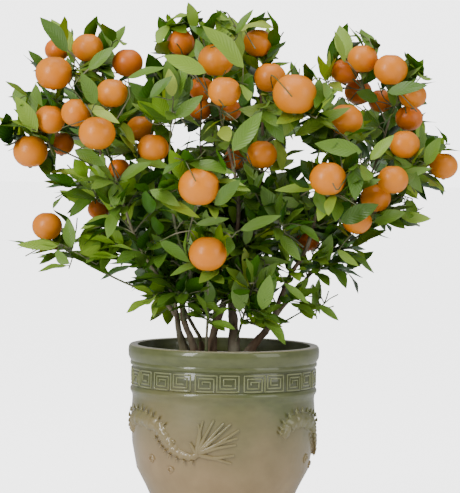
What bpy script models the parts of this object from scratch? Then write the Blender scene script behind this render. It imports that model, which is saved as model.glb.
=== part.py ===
"""A Cleopatra mandarin tree in its glazed pot, about 0.66 m tall. Metres, +Z up.

The origin is the middle of the pot's flat underside. +X runs to the right across the pot, and -Y comes
forward. Seven stems rise from the soil and end at their forks, one tapering bough leads on to each mass
of foliage, and each mass is a single body of twigs, leaves and upright fruit.
"""

import math
import random

import bmesh
import bpy
import numpy as np
from mathutils import Vector

MM = 0.001
GAP = 0.3 * MM  # left between pieces that touch

# Pot: radius and height of each turn of the outer wall, from the foot up to the lip
RIM_HEIGHT = 235 * MM
WALL = 10 * MM
LIP_WALL = 11.5 * MM
POT_FLOOR = 15 * MM
POT_SIDES = 48
POT_PROFILE_MM = (
    (72.5, 0), (74.5, 2), (75, 10), (83, 30), (96, 58), (107.5, 80), (113.5, 112), (115.3, 148), (113.6, 170),
    (116.6, 179.5), (116.2, 183.5), (114.6, 185.5), (114.6, 202), (116.8, 204.5), (116.8, 209),
    (119.3, 215), (119.6, 228), (117.6, 235),
)
INNER_TURNS = (30, 80, 148)  # heights of the outer turns that the inner wall follows

# Soil: filled up to a little below the lip
SOIL_TOP = 217 * MM
SOIL_CROWN = 2.5 * MM
SOIL_SIDES = 32

# Sight line: places are given across, up and behind the pot's middle, and slide along it with depth
EYE_DISTANCE = 4.0
EYE_HEIGHT = 0.56

# Limbs: where each grows, radius at its foot and at its tip, and its route, all in millimetres
GROUND = ("", 0)
START_STEP = 0.2 * MM
START_GAP = 0.1 * MM  # beyond the round of the parent, whose flat sides stand a little further in
STEM_STEP = 14 * MM
BOUGH_STEP = 28 * MM
FLARE = 1.35
FLARE_REACH = 14 * MM
STEM_SIDES = 8
BOUGH_SIDES = 6
LIMBS = {
    "stem_left": (GROUND, 5.2, 3.4, ((-46, 218, 6), (-51, 232, 4), (-56, 249, 2), (-59, 265, 0))),
    "stem_brown": (GROUND, 4.6, 3.0, (
        (-35, 218, -8), (-38, 231, -9), (-43, 245, -10), (-49, 259, -12), (-53, 280, -14), (-55, 302, -15))),
    "stem_short": (GROUND, 5.6, 3.2, ((-26, 218, 12), (-27, 228, 12), (-29, 238, 12))),
    "stem_middle": (GROUND, 5.4, 3.6, (
        (-16, 218, -14), (-15, 230, -14), (-13, 249, -14), (-7, 268, -15), (-1, 287, -16), (2, 306, -16),
        (6, 322, -14))),
    "stem_thick": (GROUND, 6.8, 4.4, (
        (13, 218, 4), (12, 233, 4), (12, 252, 5), (10, 271, 8), (10, 288, 11), (13, 307, 14), (17, 326, 17))),
    "stem_right": (GROUND, 5.6, 3.8, (
        (29, 218, -4), (34, 230, -4), (42, 241, -5), (53, 254, -6), (60, 267, -6))),
    "stem_shoot": (GROUND, 1.9, 1.4, ((-22, 218, -26), (-22, 240, -28), (-21, 265, -38), (-21, 283, -50))),
    "bough_left_high": (("stem_left", 1), 3.0, 1.5, (
        (-67, 276, 4), (-77, 292, 10), (-91, 317, 16), (-104, 342, 20), (-116, 367, 24), (-127, 396, 28),
        (-142, 431, 32), (-156, 468, 34), (-166, 506, 32), (-174, 538, 26))),
    "bough_left_front": (("stem_left", 0.8), 2.4, 1.3, (
        (-63, 292, -14), (-75, 310, -26), (-89, 327, -36), (-105, 352, -48), (-120, 386, -60),
        (-133, 426, -70), (-143, 458, -76))),
    "bough_green": (("stem_brown", 0.5), 2.2, 1.3, (
        (-52, 279, -34), (-47, 295, -42), (-43, 315, -48), (-45, 335, -54), (-52, 352, -60), (-61, 372, -64),
        (-67, 408, -68), (-71, 450, -70), (-71, 483, -72))),
    "bough_low_left": (("bough_left_high", 0.1), 1.6, 1.1, (
        (-90, 297, 4), (-110, 304, -2), (-130, 313, -6), (-150, 322, -8), (-169, 331, -8))),
    "bough_brown": (("stem_brown", 1), 2.7, 1.4, (
        (-60, 325, -12), (-62, 345, -6), (-67, 370, 2), (-76, 397, 6), (-88, 427, 2), (-97, 452, -6))),
    "bough_slim": (("stem_short", 1), 2.4, 1.4, (
        (-35, 251, 16), (-43, 265, 24), (-54, 285, 38), (-69, 312, 60), (-84, 344, 82), (-99, 374, 100))),
    "bough_centre": (("stem_middle", 1), 3.2, 1.5, (
        (9, 343, -12), (12, 362, -10), (15, 383, -10), (16, 410, -14), (12, 441, -22), (3, 476, -28),
        (-6, 511, -34), (-13, 545, -38))),
    "bough_dark": (("stem_middle", 0.35), 2.0, 1.3, (
        (-13, 273, 2), (-8, 293, 8), (-5, 313, 14), (-4, 338, 24), (-8, 371, 36), (-17, 408, 46),
        (-27, 447, 50), (-33, 484, 50))),
    "bough_upright": (("stem_thick", 1), 3.6, 1.5, (
        (23, 343, 18), (32, 366, 16), (39, 396, 12), (43, 434, 8), (45, 474, 4), (44, 514, 2), (41, 549, 0))),
    "bough_back": (("stem_thick", 0.8), 2.6, 1.6, (
        (15, 328, 34), (11, 358, 60), (4, 391, 88), (-3, 421, 112))),
    "bough_right": (("stem_right", 1), 3.3, 1.5, (
        (64, 279, -6), (70, 295, -8), (76, 309, -10), (81, 322, -12), (90, 337, -14), (100, 353, -16),
        (108, 377, -20), (114, 410, -24), (120, 447, -30), (127, 477, -34))),
    "bough_far": (("stem_right", 0.9), 2.8, 1.9, (
        (69, 279, 4), (80, 292, 8), (95, 310, 12), (105, 323, 14), (116, 337, 16), (126, 349, 18))),
    "bough_right_tip": (("bough_far", 1), 1.7, 1.2, ((140, 357, 12), (158, 368, 4), (171, 376, -4))),
    "bough_right_up": (("bough_far", 0.9), 1.8, 1.3, (
        (136, 360, 26), (149, 380, 34), (165, 410, 42), (180, 448, 42), (193, 486, 34), (202, 518, 24))),
    "bough_clump": (("stem_thick", 0.25), 1.7, 1.2, ((20, 255, -14), (23, 268, -24), (28, 286, -36))),
    "bough_sprig": (("stem_right", 0.7), 1.4, 1.0, ((61, 256, -2), (78, 266, 0), (98, 278, 0))),
}

# Masses: the limb and the share of its length that each grows from, its middle, how far it reaches
# across, up and back, and its fruit (across, up, behind, width), all in millimetres
MASSES = {
    "foliage_left_top": (("bough_left_high", 1), (-182, 591, 20), (72, 60, 72), (
        (-175, 603, 10, 39), (-213, 600, 70, 32), (-217, 571, -20, 46), (-125, 585, 40, 39))),
    "foliage_left_outer": (("bough_left_high", 0.72), (-236, 502, 10), (50, 62, 80), (
        (-221, 513, -20, 39), (-245, 473, 0, 44), (-206, 483, 60, 32))),
    "foliage_left_front": (("bough_left_front", 1), (-163, 523, -80), (58, 55, 60), (
        (-144, 547, -70, 39), (-188, 522, -60, 38), (-162, 497, -100, 45))),
    "foliage_left_under": (("bough_left_high", 0.5), (-160, 432, 20), (75, 48, 80), (
        (-159, 402, 40, 28), (-134, 453, 40, 28))),
    "foliage_low_left": (("bough_low_left", 1), (-194, 358, 0), (78, 45, 50), ((-223, 380, 0, 38),)),
    "foliage_inner_left": (("bough_brown", 1), (-109, 487, -20), (45, 58, 75), (
        (-108, 503, -10, 35), (-92, 479, -60, 39))),
    "foliage_centre_left": (("bough_green", 1), (-69, 540, -70), (45, 62, 60), ()),
    "foliage_top_left": (("bough_centre", 0.9), (-60, 609, 40), (45, 55, 60), ((-59, 611, 30, 35),)),
    "foliage_top": (("bough_centre", 1), (-18, 605, -40), (42, 62, 60), ((-15, 590, -60, 44),)),
    "foliage_centre_front": (("bough_centre", 0.8), (-7, 541, -110), (45, 50, 50), ((-4, 551, -120, 40),)),
    "foliage_centre_behind": (("bough_dark", 1), (-31, 540, 50), (50, 60, 60), (
        (-33, 554, 20, 32), (-34, 528, 60, 30), (3, 528, 40, 30))),
    "foliage_top_right": (("bough_upright", 1), (37, 604, 0), (45, 62, 65), (
        (37, 612, 0, 38), (53, 569, -30, 40))),
    "foliage_centre_right": (("bough_upright", 0.8), (84, 546, -92), (58, 48, 65), ((84, 549, -110, 54),)),
    "foliage_front": (("bough_green", 0.4), (-33, 440, -150), (60, 50, 50), ((-34, 432, -160, 50),)),
    "foliage_middle": (("bough_upright", 0.5), (29, 476, -20), (55, 45, 60), (
        (11, 467, 20, 30), (44, 473, -40, 38))),
    "foliage_low_front": (("stem_shoot", 1), (-22, 353, -105), (42, 45, 45), ((-22, 348, -120, 46),)),
    "foliage_low_clump": (("bough_clump", 1), (34, 314, -55), (42, 42, 45), ()),
    "foliage_right_middle": (("bough_right", 0.45), (68, 394, -30), (62, 60, 70), ((103, 367, 20, 30),)),
    "foliage_right_top": (("bough_right_up", 0.9), (155, 585, 20), (45, 62, 65), (
        (168, 594, 0, 38), (146, 578, 30, 35), (163, 553, 60, 35))),
    "foliage_right_high": (("bough_right_up", 1), (213, 556, 10), (50, 50, 75), (
        (203, 581, -30, 42), (231, 549, 0, 35), (227, 521, 40, 35), (191, 542, 70, 32))),
    "foliage_right_inner": (("bough_right", 1), (135, 511, -40), (52, 48, 65), ((148, 518, -50, 42),)),
    "foliage_right_outer": (("bough_right_up", 0.55), (239, 469, 0), (55, 58, 75), (
        (222, 488, -50, 38), (271, 462, 0, 36), (208, 444, -78, 38))),
    "foliage_right_front": (("bough_right", 0.7), (136, 440, -95), (58, 50, 60), ((127, 444, -110, 45),)),
    "foliage_right_low": (("bough_right_tip", 1), (183, 408, -20), (70, 35, 60), (
        (187, 421, -40, 38), (164, 393, -30, 38))),
    "foliage_sprig": (("bough_sprig", 1), (117, 289, 0), (35, 30, 30), ()),
    "foliage_back_left": (("bough_slim", 1), (-165, 526, 125), (75, 75, 75), ()),
    "foliage_back_low_left": (("bough_slim", 0.8), (-107, 408, 115), (70, 60, 75), ()),
    "foliage_back_top": (("bough_back", 1), (-29, 578, 145), (80, 75, 70), ()),
    "foliage_back_middle": (("bough_back", 0.85), (-2, 466, 150), (75, 65, 75), ()),
    "foliage_back_inner": (("bough_back", 0.6), (60, 529, 120), (50, 60, 65), ()),
    "foliage_back_right": (("bough_right_up", 0.4), (200, 500, 138), (65, 70, 70), ()),
    "foliage_back_low_right": (("bough_right", 0.3), (80, 398, 110), (70, 60, 70), ()),
}

# Growth inside a mass
UP = Vector((0, 0, 1))
TURN = math.radians(137.5)
SPACE_REACH = 1.12
SPACE_MARGIN = 0.035
STEM_ASIDES = (
    (0, 0, -0.25), (0, 0, 0.1), (0.3, 0, -0.1), (-0.3, 0, -0.1), (0, 0.3, -0.1), (0, -0.3, -0.1),
    (0.3, 0.3, 0), (-0.3, -0.3, 0), (0.3, -0.3, 0), (-0.3, 0.3, 0),
)
STEM_SHIFTS = (0, 0.06, -0.06, 0.12, -0.12)
STEM_PULLS = (0.3, 0.5, 0.1)
STEM_ROOM = 0.8 * MM
STEM_FREE = 14 * MM
TWIG_STEP = 24 * MM
TWIG_FOOT = 1.6 * MM
TWIG_TIP = 0.9 * MM
TWIG_PIECES = 2
TWIG_TRIES = 8
TWIG_PULLS = (0.35, 0.1, 0.6)
TWIG_ROOM = 1.8 * MM
TIPS = 5
LEAST_TIPS = 2
TIP_SHELL = 0.62
FRUIT_FLAT = 0.92
FRUIT_ROOM = 12 * MM
FRUIT_SIDES = 8
FRUIT_RINGS = 4
LEAVES = 8
LEAST_LEAVES = 5
LEAF_SHARES = (1.0, 0.7, 0.45, 0.85)
LEAF_LENGTH = (50 * MM, 64 * MM)
LEAF_SLIMNESS = (0.42, 0.5)
LEAF_OUTLINE = ((0, 0), (0.28, 0.45), (0.66, 0.42), (1, 0), (0.66, -0.42), (0.28, -0.45))
LEAF_MIDDLE = 0.45
LEAF_THICK = 1.1 * MM
LEAF_SPREAD = (35, 65)
LEAF_LIFT = 0.15
LEAF_TRIES = 8
LEAF_ROOM = 1.2 * MM
TEST_STEP = 5 * MM


def place(across, up, behind):
    """The point at this depth that is seen at (across, up), given in millimetres."""
    along = 1 + behind * MM / EYE_DISTANCE
    return Vector((across * MM * along, behind * MM, EYE_HEIGHT + (up * MM - EYE_HEIGHT) * along))


def principled(name, colour, roughness):
    material = bpy.data.materials.new(name)
    material.use_nodes = True
    shader = material.node_tree.nodes["Principled BSDF"]
    shader.inputs["Base Color"].default_value = (*colour, 1)
    shader.inputs["Roughness"].default_value = roughness
    material.diffuse_color = (*colour, 1)
    return material


def add_object(name, bm, material, smooth_angle=None):
    mesh = bpy.data.meshes.new(name)
    bm.to_mesh(mesh)
    bm.free()
    mesh.materials.append(material)
    if smooth_angle is not None:
        mesh.shade_smooth()
        mesh.set_sharp_from_angle(angle=math.radians(smooth_angle))
    obj = bpy.data.objects.new(name, mesh)
    bpy.context.scene.collection.objects.link(obj)
    return obj


def face_outward(bm):
    bmesh.ops.recalc_face_normals(bm, faces=bm.faces)
    if bm.calc_volume(signed=True) < 0:
        bmesh.ops.reverse_faces(bm, faces=bm.faces)


def turned(profile, sides):
    """A closed body turned about Z from a profile of (radius, height) that starts and ends on the axis."""
    bm = bmesh.new()
    points = [bm.verts.new((radius, 0, height)) for radius, height in profile]
    edges = [bm.edges.new(pair) for pair in zip(points, points[1:])]
    bmesh.ops.spin(
        bm, geom=points + edges, cent=(0, 0, 0), axis=(0, 0, 1), angle=math.tau, steps=sides, use_merge=True
    )
    bmesh.ops.remove_doubles(bm, verts=bm.verts, dist=0.01 * MM)
    face_outward(bm)
    return bm


def smooth_route(points, step):
    """Points about one step apart on a smooth curve through the given ones."""
    ends = [2 * points[0] - points[1], *points, 2 * points[-1] - points[-2]]
    route = []
    for before, start, end, after in zip(ends, ends[1:], ends[2:], ends[3:]):
        pieces = max(1, round((end - start).length / step))
        for piece in range(pieces):
            t = piece / pieces
            route.append(0.5 * (
                2 * start
                + (end - before) * t
                + (2 * before - 5 * start + 4 * end - after) * t ** 2
                + (3 * start - before - 3 * end + after) * t ** 3
            ))
    return [*route, points[-1]]


def directions(route):
    steps = [(b - a).normalized() for a, b in zip(route, route[1:])]
    middles = [(a + b).normalized() for a, b in zip(steps, steps[1:])]
    return [steps[0], *middles, steps[-1]]


def ring_places(middle, direction, across, radius, sides):
    other = direction.cross(across)
    turns = [math.tau * i / sides for i in range(sides)]
    return [middle + radius * (math.cos(t) * across + math.sin(t) * other) for t in turns]


def add_tube(bm, route, radii, sides):
    """A closed limb in the mesh: a ring drawn out along the route, with a flat cut at each end."""
    aims = directions(route)
    across = aims[0].orthogonal().normalized()
    face = bm.faces.new([bm.verts.new() for _ in range(sides)])
    for number, (middle, aim, radius) in enumerate(zip(route, aims, radii)):
        if number:
            face = bmesh.ops.extrude_discrete_faces(bm, faces=[face])["faces"][0]
            across = (across - across.dot(aim) * aim).normalized()
        for vert, at in zip(face.verts, ring_places(middle, aim, across, radius, sides)):
            vert.co = at
    bmesh.ops.holes_fill(bm, edges=[edge for edge in bm.edges if edge.is_boundary])
    face_outward(bm)


class Limb:
    def __init__(self, route, radii):
        self.route = route
        self.radii = radii

    def at(self, share):
        """(place, direction, radius) this share of the way along."""
        count = len(self.route) - 1
        step = min(count - 1, int(share * count))
        rest = share * count - step
        place_there = self.route[step].lerp(self.route[step + 1], rest)
        radius = self.radii[step] + rest * (self.radii[step + 1] - self.radii[step])
        return place_there, (self.route[step + 1] - self.route[step]).normalized(), radius


def taper(route, foot, tip):
    """Radii that fall evenly with the distance along the route."""
    lengths = [0]
    for a, b in zip(route, route[1:]):
        lengths.append(lengths[-1] + (b - a).length)
    return [foot + (tip - foot) * length / lengths[-1] for length in lengths]


def clear_of_limbs(points, limbs, clearance):
    """Whether every point keeps its distance from every limb's surface."""
    if not limbs or not points:
        return True
    starts = np.array([a for limb in limbs for a in limb.route[:-1]])
    runs = np.array([b - a for limb in limbs for a, b in zip(limb.route, limb.route[1:])])
    widths = np.array([max(pair) for limb in limbs for pair in zip(limb.radii, limb.radii[1:])])
    points = np.array(points)[:, None]
    share = ((points - starts) * runs).sum(2) / (runs * runs).sum(1)
    nearest = starts + np.clip(share, 0, 1)[..., None] * runs
    return bool((np.linalg.norm(points - nearest, axis=2) - widths > clearance).all())


def clear_start(route, foot, sides, limbs):
    """The route, cut short at its foot until its first ring stands clear of every limb already there."""
    fine = smooth_route(route, START_STEP)
    for number, (middle, aim) in enumerate(zip(fine, directions(fine))):
        ring = ring_places(middle, aim, aim.orthogonal().normalized(), foot, 2 * sides)
        if clear_of_limbs(ring, limbs, START_GAP):
            return fine[number:]
    return fine[-2:]


def thinned(route, step):
    """Every few points of a fine route, with both its ends."""
    kept = [route[0]]
    for point in route[1:-1]:
        if (point - kept[-1]).length >= step and (point - route[-1]).length >= 0.5 * step:
            kept.append(point)
    return [*kept, route[-1]]


def grow_limb(origin, foot, tip, route_mm, limbs):
    """A limb that goes on from another's tip, leaves its side, or stands in the soil."""
    parent_name, share = origin
    foot, tip = foot * MM, tip * MM
    route = [place(*point) for point in route_mm]
    if not parent_name:
        base = Vector((route[0].x, route[0].y, SOIL_TOP + GAP))
        route = smooth_route([base, base + 3 * MM * UP, *route[1:]], STEM_STEP)
        radii = taper(route, foot, tip)
        flared = [
            radius * (1 + (FLARE - 1) * max(0, 1 - (point - base).length / FLARE_REACH) ** 2)
            for point, radius in zip(route, radii)
        ]
        return Limb(route, flared)
    start, aim, _ = limbs[parent_name].at(share)
    if share == 1:
        begun = start + GAP * aim
        bent = smooth_route([begun + 4 * MM * aim, *route], 2 * MM)
        route = [begun, *thinned(bent, BOUGH_STEP)]
    else:
        route = thinned(clear_start([start, *route], foot, BOUGH_SIDES, list(limbs.values())), BOUGH_STEP)
    return Limb(route, taper(route, foot, tip))


class Mass:
    """A mass of foliage: its own space in the crown, the fruit in it and the stem that leads to it."""

    def __init__(self, name, origin, middle, reach, fruit):
        self.name = name
        self.origin = origin
        self.middle = place(*middle)
        self.reach = np.array(reach) * (MM, MM, MM)
        self.reach = self.reach[[0, 2, 1]]
        self.fruit = [(place(*spot), width * MM / 2) for *spot, width in fruit]
        self.nodes = []
        self.twigs = []
        self.hung = []
        self.shapes = []


def shares_of_reach(points, mass):
    """How far out in the mass's space each point is: 1 at its reach, or just past the room round its fruit."""
    shares = [np.linalg.norm((points - np.array(mass.middle)) / mass.reach, axis=1)]
    for middle, radius in mass.fruit:
        shares.append(np.linalg.norm(points - np.array(middle), axis=1) / (radius + FRUIT_ROOM))
    return np.min(shares, axis=0)


def in_own_space(points, mass, masses):
    """Whether every point is within the mass's reach and clearly nearer to it than to any other."""
    if not points:
        return True
    points = np.array(points)
    own = shares_of_reach(points, mass)
    if own.max() > SPACE_REACH:
        return False
    return all(
        (shares_of_reach(points, other) > own + SPACE_MARGIN).all() for other in masses if other is not mass
    )


def clear_of_fruit(points, mass, but=None):
    points = np.array(points)
    return all(
        (np.linalg.norm(points - np.array(middle), axis=1) > radius + 0.5 * MM).all()
        for middle, radius in mass.fruit if middle is not but
    )


def points_between(route, step):
    """Points no further apart than the step, along straight runs."""
    points = []
    for a, b in zip(route, route[1:]):
        count = math.ceil((b - a).length / step)
        points += [a.lerp(b, i / count) for i in range(count)]
    return [*points, route[-1]]


def bend(start, aim, end, pull, pieces):
    """A curve that leaves its start along aim and ends at end."""
    control = start + pull * (end - start).length * aim
    shares = [i / pieces for i in range(pieces + 1)]
    return [(1 - t) ** 2 * start + 2 * t * (1 - t) * control + t ** 2 * end for t in shares]


def stem_ways(mass, limb):
    """Curves that the mass's stem may take, the plainest first: start, direction there and the curve."""
    share = mass.origin[1]
    shifts = (0,) if share == 1 else STEM_SHIFTS
    for aside in STEM_ASIDES:
        end = mass.middle + Vector(aside[i] * mass.reach[i] for i in range(3))
        for shift in shifts:
            start, aim, radius = limb.at(min(0.98, share + shift) if share < 1 else 1)
            begun = start + GAP * aim if share == 1 else start
            for pull in STEM_PULLS:
                yield radius, begun, aim, bend(begun, aim, end, pull, 60)


def grow_stem(mass, limbs, others):
    """The mass's stem: it goes on from its bough's tip, or leaves its side, and ends near its middle."""
    parent = limbs[mass.origin[0]]
    around = [*(limb for limb in limbs.values() if limb is not parent), *others]
    for radius, start, aim, fine in stem_ways(mass, parent):
        foot = min(TWIG_FOOT, 0.85 * radius)
        room = foot + STEM_ROOM
        away = [point for point in fine if (point - start).length > STEM_FREE]
        if not clear_of_limbs(fine, around, room) or not clear_of_limbs(away, [parent], room):
            continue
        if mass.origin[1] == 1:
            route = [start, start + 2 * MM * aim, *thinned(fine, TWIG_STEP)[1:]]
        else:
            route = thinned(clear_start(fine, foot, 3, [parent]), TWIG_STEP)
        return Limb(route, taper(route, foot, TWIG_TIP + 0.3 * MM))
    raise ValueError(f"no way for the stem of {mass.name}")


def add_nodes(mass, limb, first=0):
    aims = directions(limb.route)
    for point, aim, radius in list(zip(limb.route, aims, limb.radii))[first:]:
        mass.nodes.append((point, aim, radius))


def nodes_for(mass, masses, spot):
    """Places on the mass's twigs that a new one to this spot may leave, the nearest and straightest first."""
    def cost(node):
        point, aim, _ = node
        run = spot - point
        return run.length * (1.6 - 0.8 * aim.dot(run.normalized()))
    inside = [node for node in mass.nodes if in_own_space([node[0]], mass, masses)]
    return sorted(inside or mass.nodes[-1:], key=cost)


def grow_twig(mass, spot, masses, obstacles, but=None):
    """A twig to the spot, or None where it would leave the mass's space or touch a limb or a fruit."""
    for point, aim, radius in nodes_for(mass, masses, spot)[:TWIG_TRIES]:
        for pull in TWIG_PULLS:
            route = bend(point, aim, spot, pull, TWIG_PIECES)
            tested = points_between(route, TEST_STEP)
            away = [point for point in tested if (point - route[0]).length > 4 * MM]
            if not in_own_space(away, mass, masses) or not clear_of_limbs(away, obstacles, TWIG_ROOM):
                continue
            if not clear_of_fruit(tested, mass, but):
                continue
            twig = Limb(route, taper(route, min(0.9 * radius, TWIG_FOOT), TWIG_TIP))
            add_nodes(mass, twig, 1)
            mass.twigs.append(twig)
            return twig
    return None


def leaf_points(root, aim, lie, length, width):
    """The corners of a leaf: six round its outline, and one above them on its midrib."""
    side = aim.cross(lie).normalized()
    outline = [
        root + share * length * aim + half * width * side for share, half in LEAF_OUTLINE
    ]
    return [*outline, root + LEAF_MIDDLE * length * aim + LEAF_THICK * lie]


def points_across(points):
    """Points all over a leaf: along its rim, along its midrib and halfway between the two."""
    ribs = [points[0].lerp(points[3], share) for share, _ in LEAF_OUTLINE]
    halfway = [rib.lerp(corner, 0.5) for rib, corner in zip(ribs, points)]
    lines = ([*points[:6], points[0]], [*halfway, halfway[0]], [points[0], points[3]])
    return [point for line in lines for point in points_between(line, TEST_STEP)]


def hang_leaf(mass, node, turn, masses, obstacles, rng):
    """One leaf on this node, turned about its twig until it has room, or None."""
    point, aim, _ = node
    length = rng.uniform(*LEAF_LENGTH)
    width = length * rng.uniform(*LEAF_SLIMNESS)
    across = aim.orthogonal().normalized()
    other = aim.cross(across)
    for _ in range(LEAF_TRIES):
        outward = math.cos(turn) * across + math.sin(turn) * other
        spread = math.radians(rng.uniform(*LEAF_SPREAD))
        leaf_aim = (math.cos(spread) * aim + math.sin(spread) * outward + LEAF_LIFT * UP).normalized()
        lie = (UP + 0.5 * aim - 0.3 * outward).cross(leaf_aim)
        lie = leaf_aim.cross(lie).normalized()
        points = leaf_points(point - 0.5 * MM * leaf_aim, leaf_aim, lie, length, width)
        blade = points_across(points)
        tested = [spot for spot in blade if (spot - point).length > 4 * MM]
        turn += TURN
        if not in_own_space(tested, mass, masses):
            continue
        if not clear_of_limbs(tested, [*obstacles, *mass.hung], LEAF_ROOM) or not clear_of_fruit(tested, mass):
            continue
        beyond = [spot for spot in tested if (spot - point).length > 0.3 * length]
        if clear_of_limbs(beyond, mass.twigs, LEAF_ROOM):
            foot = points[0].lerp(points[3], 0.25)
            mass.hung.append(Limb([foot, points[3]], [0.3 * width, 0.1 * width]))
            return points
    return None


def spots_round(mass, count):
    """Spots for leafy tips, spread evenly over a shell inside the mass's reach."""
    for i in range(count):
        height = 1 - 2 * (i + 0.5) / count
        round_by = math.sqrt(1 - height * height)
        turn = i * TURN
        yield mass.middle + TIP_SHELL * Vector((
            round_by * math.cos(turn) * mass.reach[0],
            round_by * math.sin(turn) * mass.reach[1],
            height * mass.reach[2],
        ))


def fill_mass(mass, masses, obstacles, seed):
    """Twigs to the fruit and to the leafy tips, then leaves along them while there is room."""
    rng = random.Random(seed)
    fruit_twigs = []
    for middle, radius in mass.fruit:
        foot = middle - Vector((0, 0, 0.8 * FRUIT_FLAT * radius))
        twig = grow_twig(mass, foot, masses, obstacles, middle)
        if twig is None:
            continue
        fruit_twigs.append(twig)
        mass.shapes.append(("twig", twig))
        mass.shapes.append(("fruit", middle, radius))
    tips = []
    for spot in spots_round(mass, max(LEAST_TIPS, TIPS - len(mass.fruit))):
        twig = grow_twig(mass, spot, masses, obstacles)
        if twig is not None:
            tips.append(twig)
            mass.shapes.append(("twig", twig))
    turn = rng.uniform(0, math.tau)
    hung = 0
    wanted = max(LEAST_LEAVES, LEAVES - len(mass.fruit))
    for share in LEAF_SHARES:
        for twig in [*fruit_twigs, *tips]:
            if hung >= wanted:
                return
            node = twig.at(share)
            points = hang_leaf(mass, node, turn, masses, obstacles, rng)
            turn += TURN
            if points:
                hung += 1
                mass.shapes.append(("leaf", points))


def mesh_of(shape):
    bm = bmesh.new()
    if shape[0] == "twig":
        add_tube(bm, shape[1].route, shape[1].radii, 3)
    elif shape[0] == "fruit":
        _, middle, radius = shape
        bmesh.ops.create_uvsphere(bm, u_segments=FRUIT_SIDES, v_segments=FRUIT_RINGS, radius=radius)
        bmesh.ops.scale(bm, vec=(1, 1, FRUIT_FLAT), verts=bm.verts)
        bmesh.ops.translate(bm, vec=middle, verts=bm.verts)
    else:
        corners = [bm.verts.new(point) for point in shape[1]]
        bmesh.ops.convex_hull(bm, input=corners)
        bmesh.ops.recalc_face_normals(bm, faces=bm.faces)
    return bm


def keep_largest_shell(mesh):
    """Drops loose scraps and fills sealed hollows: only the outer shell of the joined body stays."""
    bm = bmesh.new()
    bm.from_mesh(mesh)
    left = set(bm.verts)
    shells = []
    while left:
        reached = {left.pop()}
        edge = list(reached)
        while edge:
            near = [e.other_vert(v) for v in edge for e in v.link_edges]
            edge = [v for v in set(near) if v not in reached]
            reached.update(edge)
        left -= reached
        shells.append(reached)
    shells.sort(key=len)
    loose = [vert for shell in shells[:-1] for vert in shell]
    bmesh.ops.delete(bm, geom=loose, context="VERTS")
    bm.to_mesh(mesh)
    bm.free()


def join_mass(mass, material):
    """One body from the mass's twigs, leaves and fruit, by a union on their collection."""
    collection = bpy.data.collections.new(mass.name)
    bpy.context.scene.collection.children.link(collection)
    for number, shape in enumerate(mass.shapes[1:]):
        piece = add_object(f"{mass.name}_{number}", mesh_of(shape), material)
        bpy.context.scene.collection.objects.unlink(piece)
        collection.objects.link(piece)
    body = add_object(mass.name, mesh_of(mass.shapes[0]), material)
    union = body.modifiers.new("join", "BOOLEAN")
    union.operation = "UNION"
    union.solver = "EXACT"
    union.operand_type = "COLLECTION"
    union.collection = collection
    graph = bpy.context.evaluated_depsgraph_get()
    joined = bpy.data.meshes.new_from_object(body.evaluated_get(graph))
    body.modifiers.clear()
    body.data = joined
    for piece in list(collection.objects):
        bpy.data.objects.remove(piece)
    bpy.data.collections.remove(collection)
    keep_largest_shell(joined)


def clear_scene():
    for obj in list(bpy.data.objects):
        bpy.data.objects.remove(obj)


def build():
    clear_scene()
    glaze = principled("celadon_glaze", (0.25, 0.26, 0.10), 0.15)
    compost = principled("bark_compost", (0.05, 0.035, 0.02), 0.95)
    bark = principled("bark", (0.16, 0.11, 0.06), 0.85)
    foliage = principled("leaf_and_fruit", (0.10, 0.22, 0.04), 0.45)

    outer = [(0, 0), *((radius * MM, height * MM) for radius, height in POT_PROFILE_MM)]
    inner = [
        (radius * MM - WALL, height * MM) for radius, height in reversed(POT_PROFILE_MM) if height in INNER_TURNS
    ]
    lip_radius = POT_PROFILE_MM[-1][0] * MM - LIP_WALL
    profile = [
        *outer, (lip_radius + 2 * MM, RIM_HEIGHT), (lip_radius, RIM_HEIGHT - 1.5 * MM),
        (lip_radius, SOIL_TOP + 4 * MM), *inner, (inner[-1][0], POT_FLOOR), (0, POT_FLOOR),
    ]
    add_object("pot", turned(profile, POT_SIDES), glaze, 35)

    soil_wall = [(radius - GAP, height) for radius, height in reversed(inner)]
    soil_profile = [
        (0, POT_FLOOR + GAP), (soil_wall[0][0], POT_FLOOR + GAP), *soil_wall,
        (soil_wall[-1][0], SOIL_TOP - SOIL_CROWN), (0.6 * soil_wall[-1][0], SOIL_TOP), (0, SOIL_TOP),
    ]
    add_object("soil", turned(soil_profile, SOIL_SIDES), compost, 35)

    limbs = {}
    for name, (origin, foot, tip, route) in LIMBS.items():
        limbs[name] = grow_limb(origin, foot, tip, route, limbs)
        bm = bmesh.new()
        add_tube(bm, limbs[name].route, limbs[name].radii, STEM_SIDES if origin == GROUND else BOUGH_SIDES)
        add_object(name, bm, bark, 60)

    masses = [Mass(name, *facts) for name, facts in MASSES.items()]
    stems = []
    for mass in sorted(masses, key=lambda mass: -mass.origin[1]):
        stem = grow_stem(mass, limbs, stems)
        stems.append(stem)
        mass.stem = stem
        mass.shapes.append(("twig", stem))
        add_nodes(mass, stem, 2)
        mass.twigs.append(stem)
    for number, mass in enumerate(masses):
        obstacles = [*limbs.values(), *(stem for stem in stems if stem is not mass.stem)]
        fill_mass(mass, masses, obstacles, number)
        join_mass(mass, foliage)


build()
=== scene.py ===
import math
import random

import bmesh
import bpy
import numpy as np
from mathutils import Matrix, Vector, noise


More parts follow.
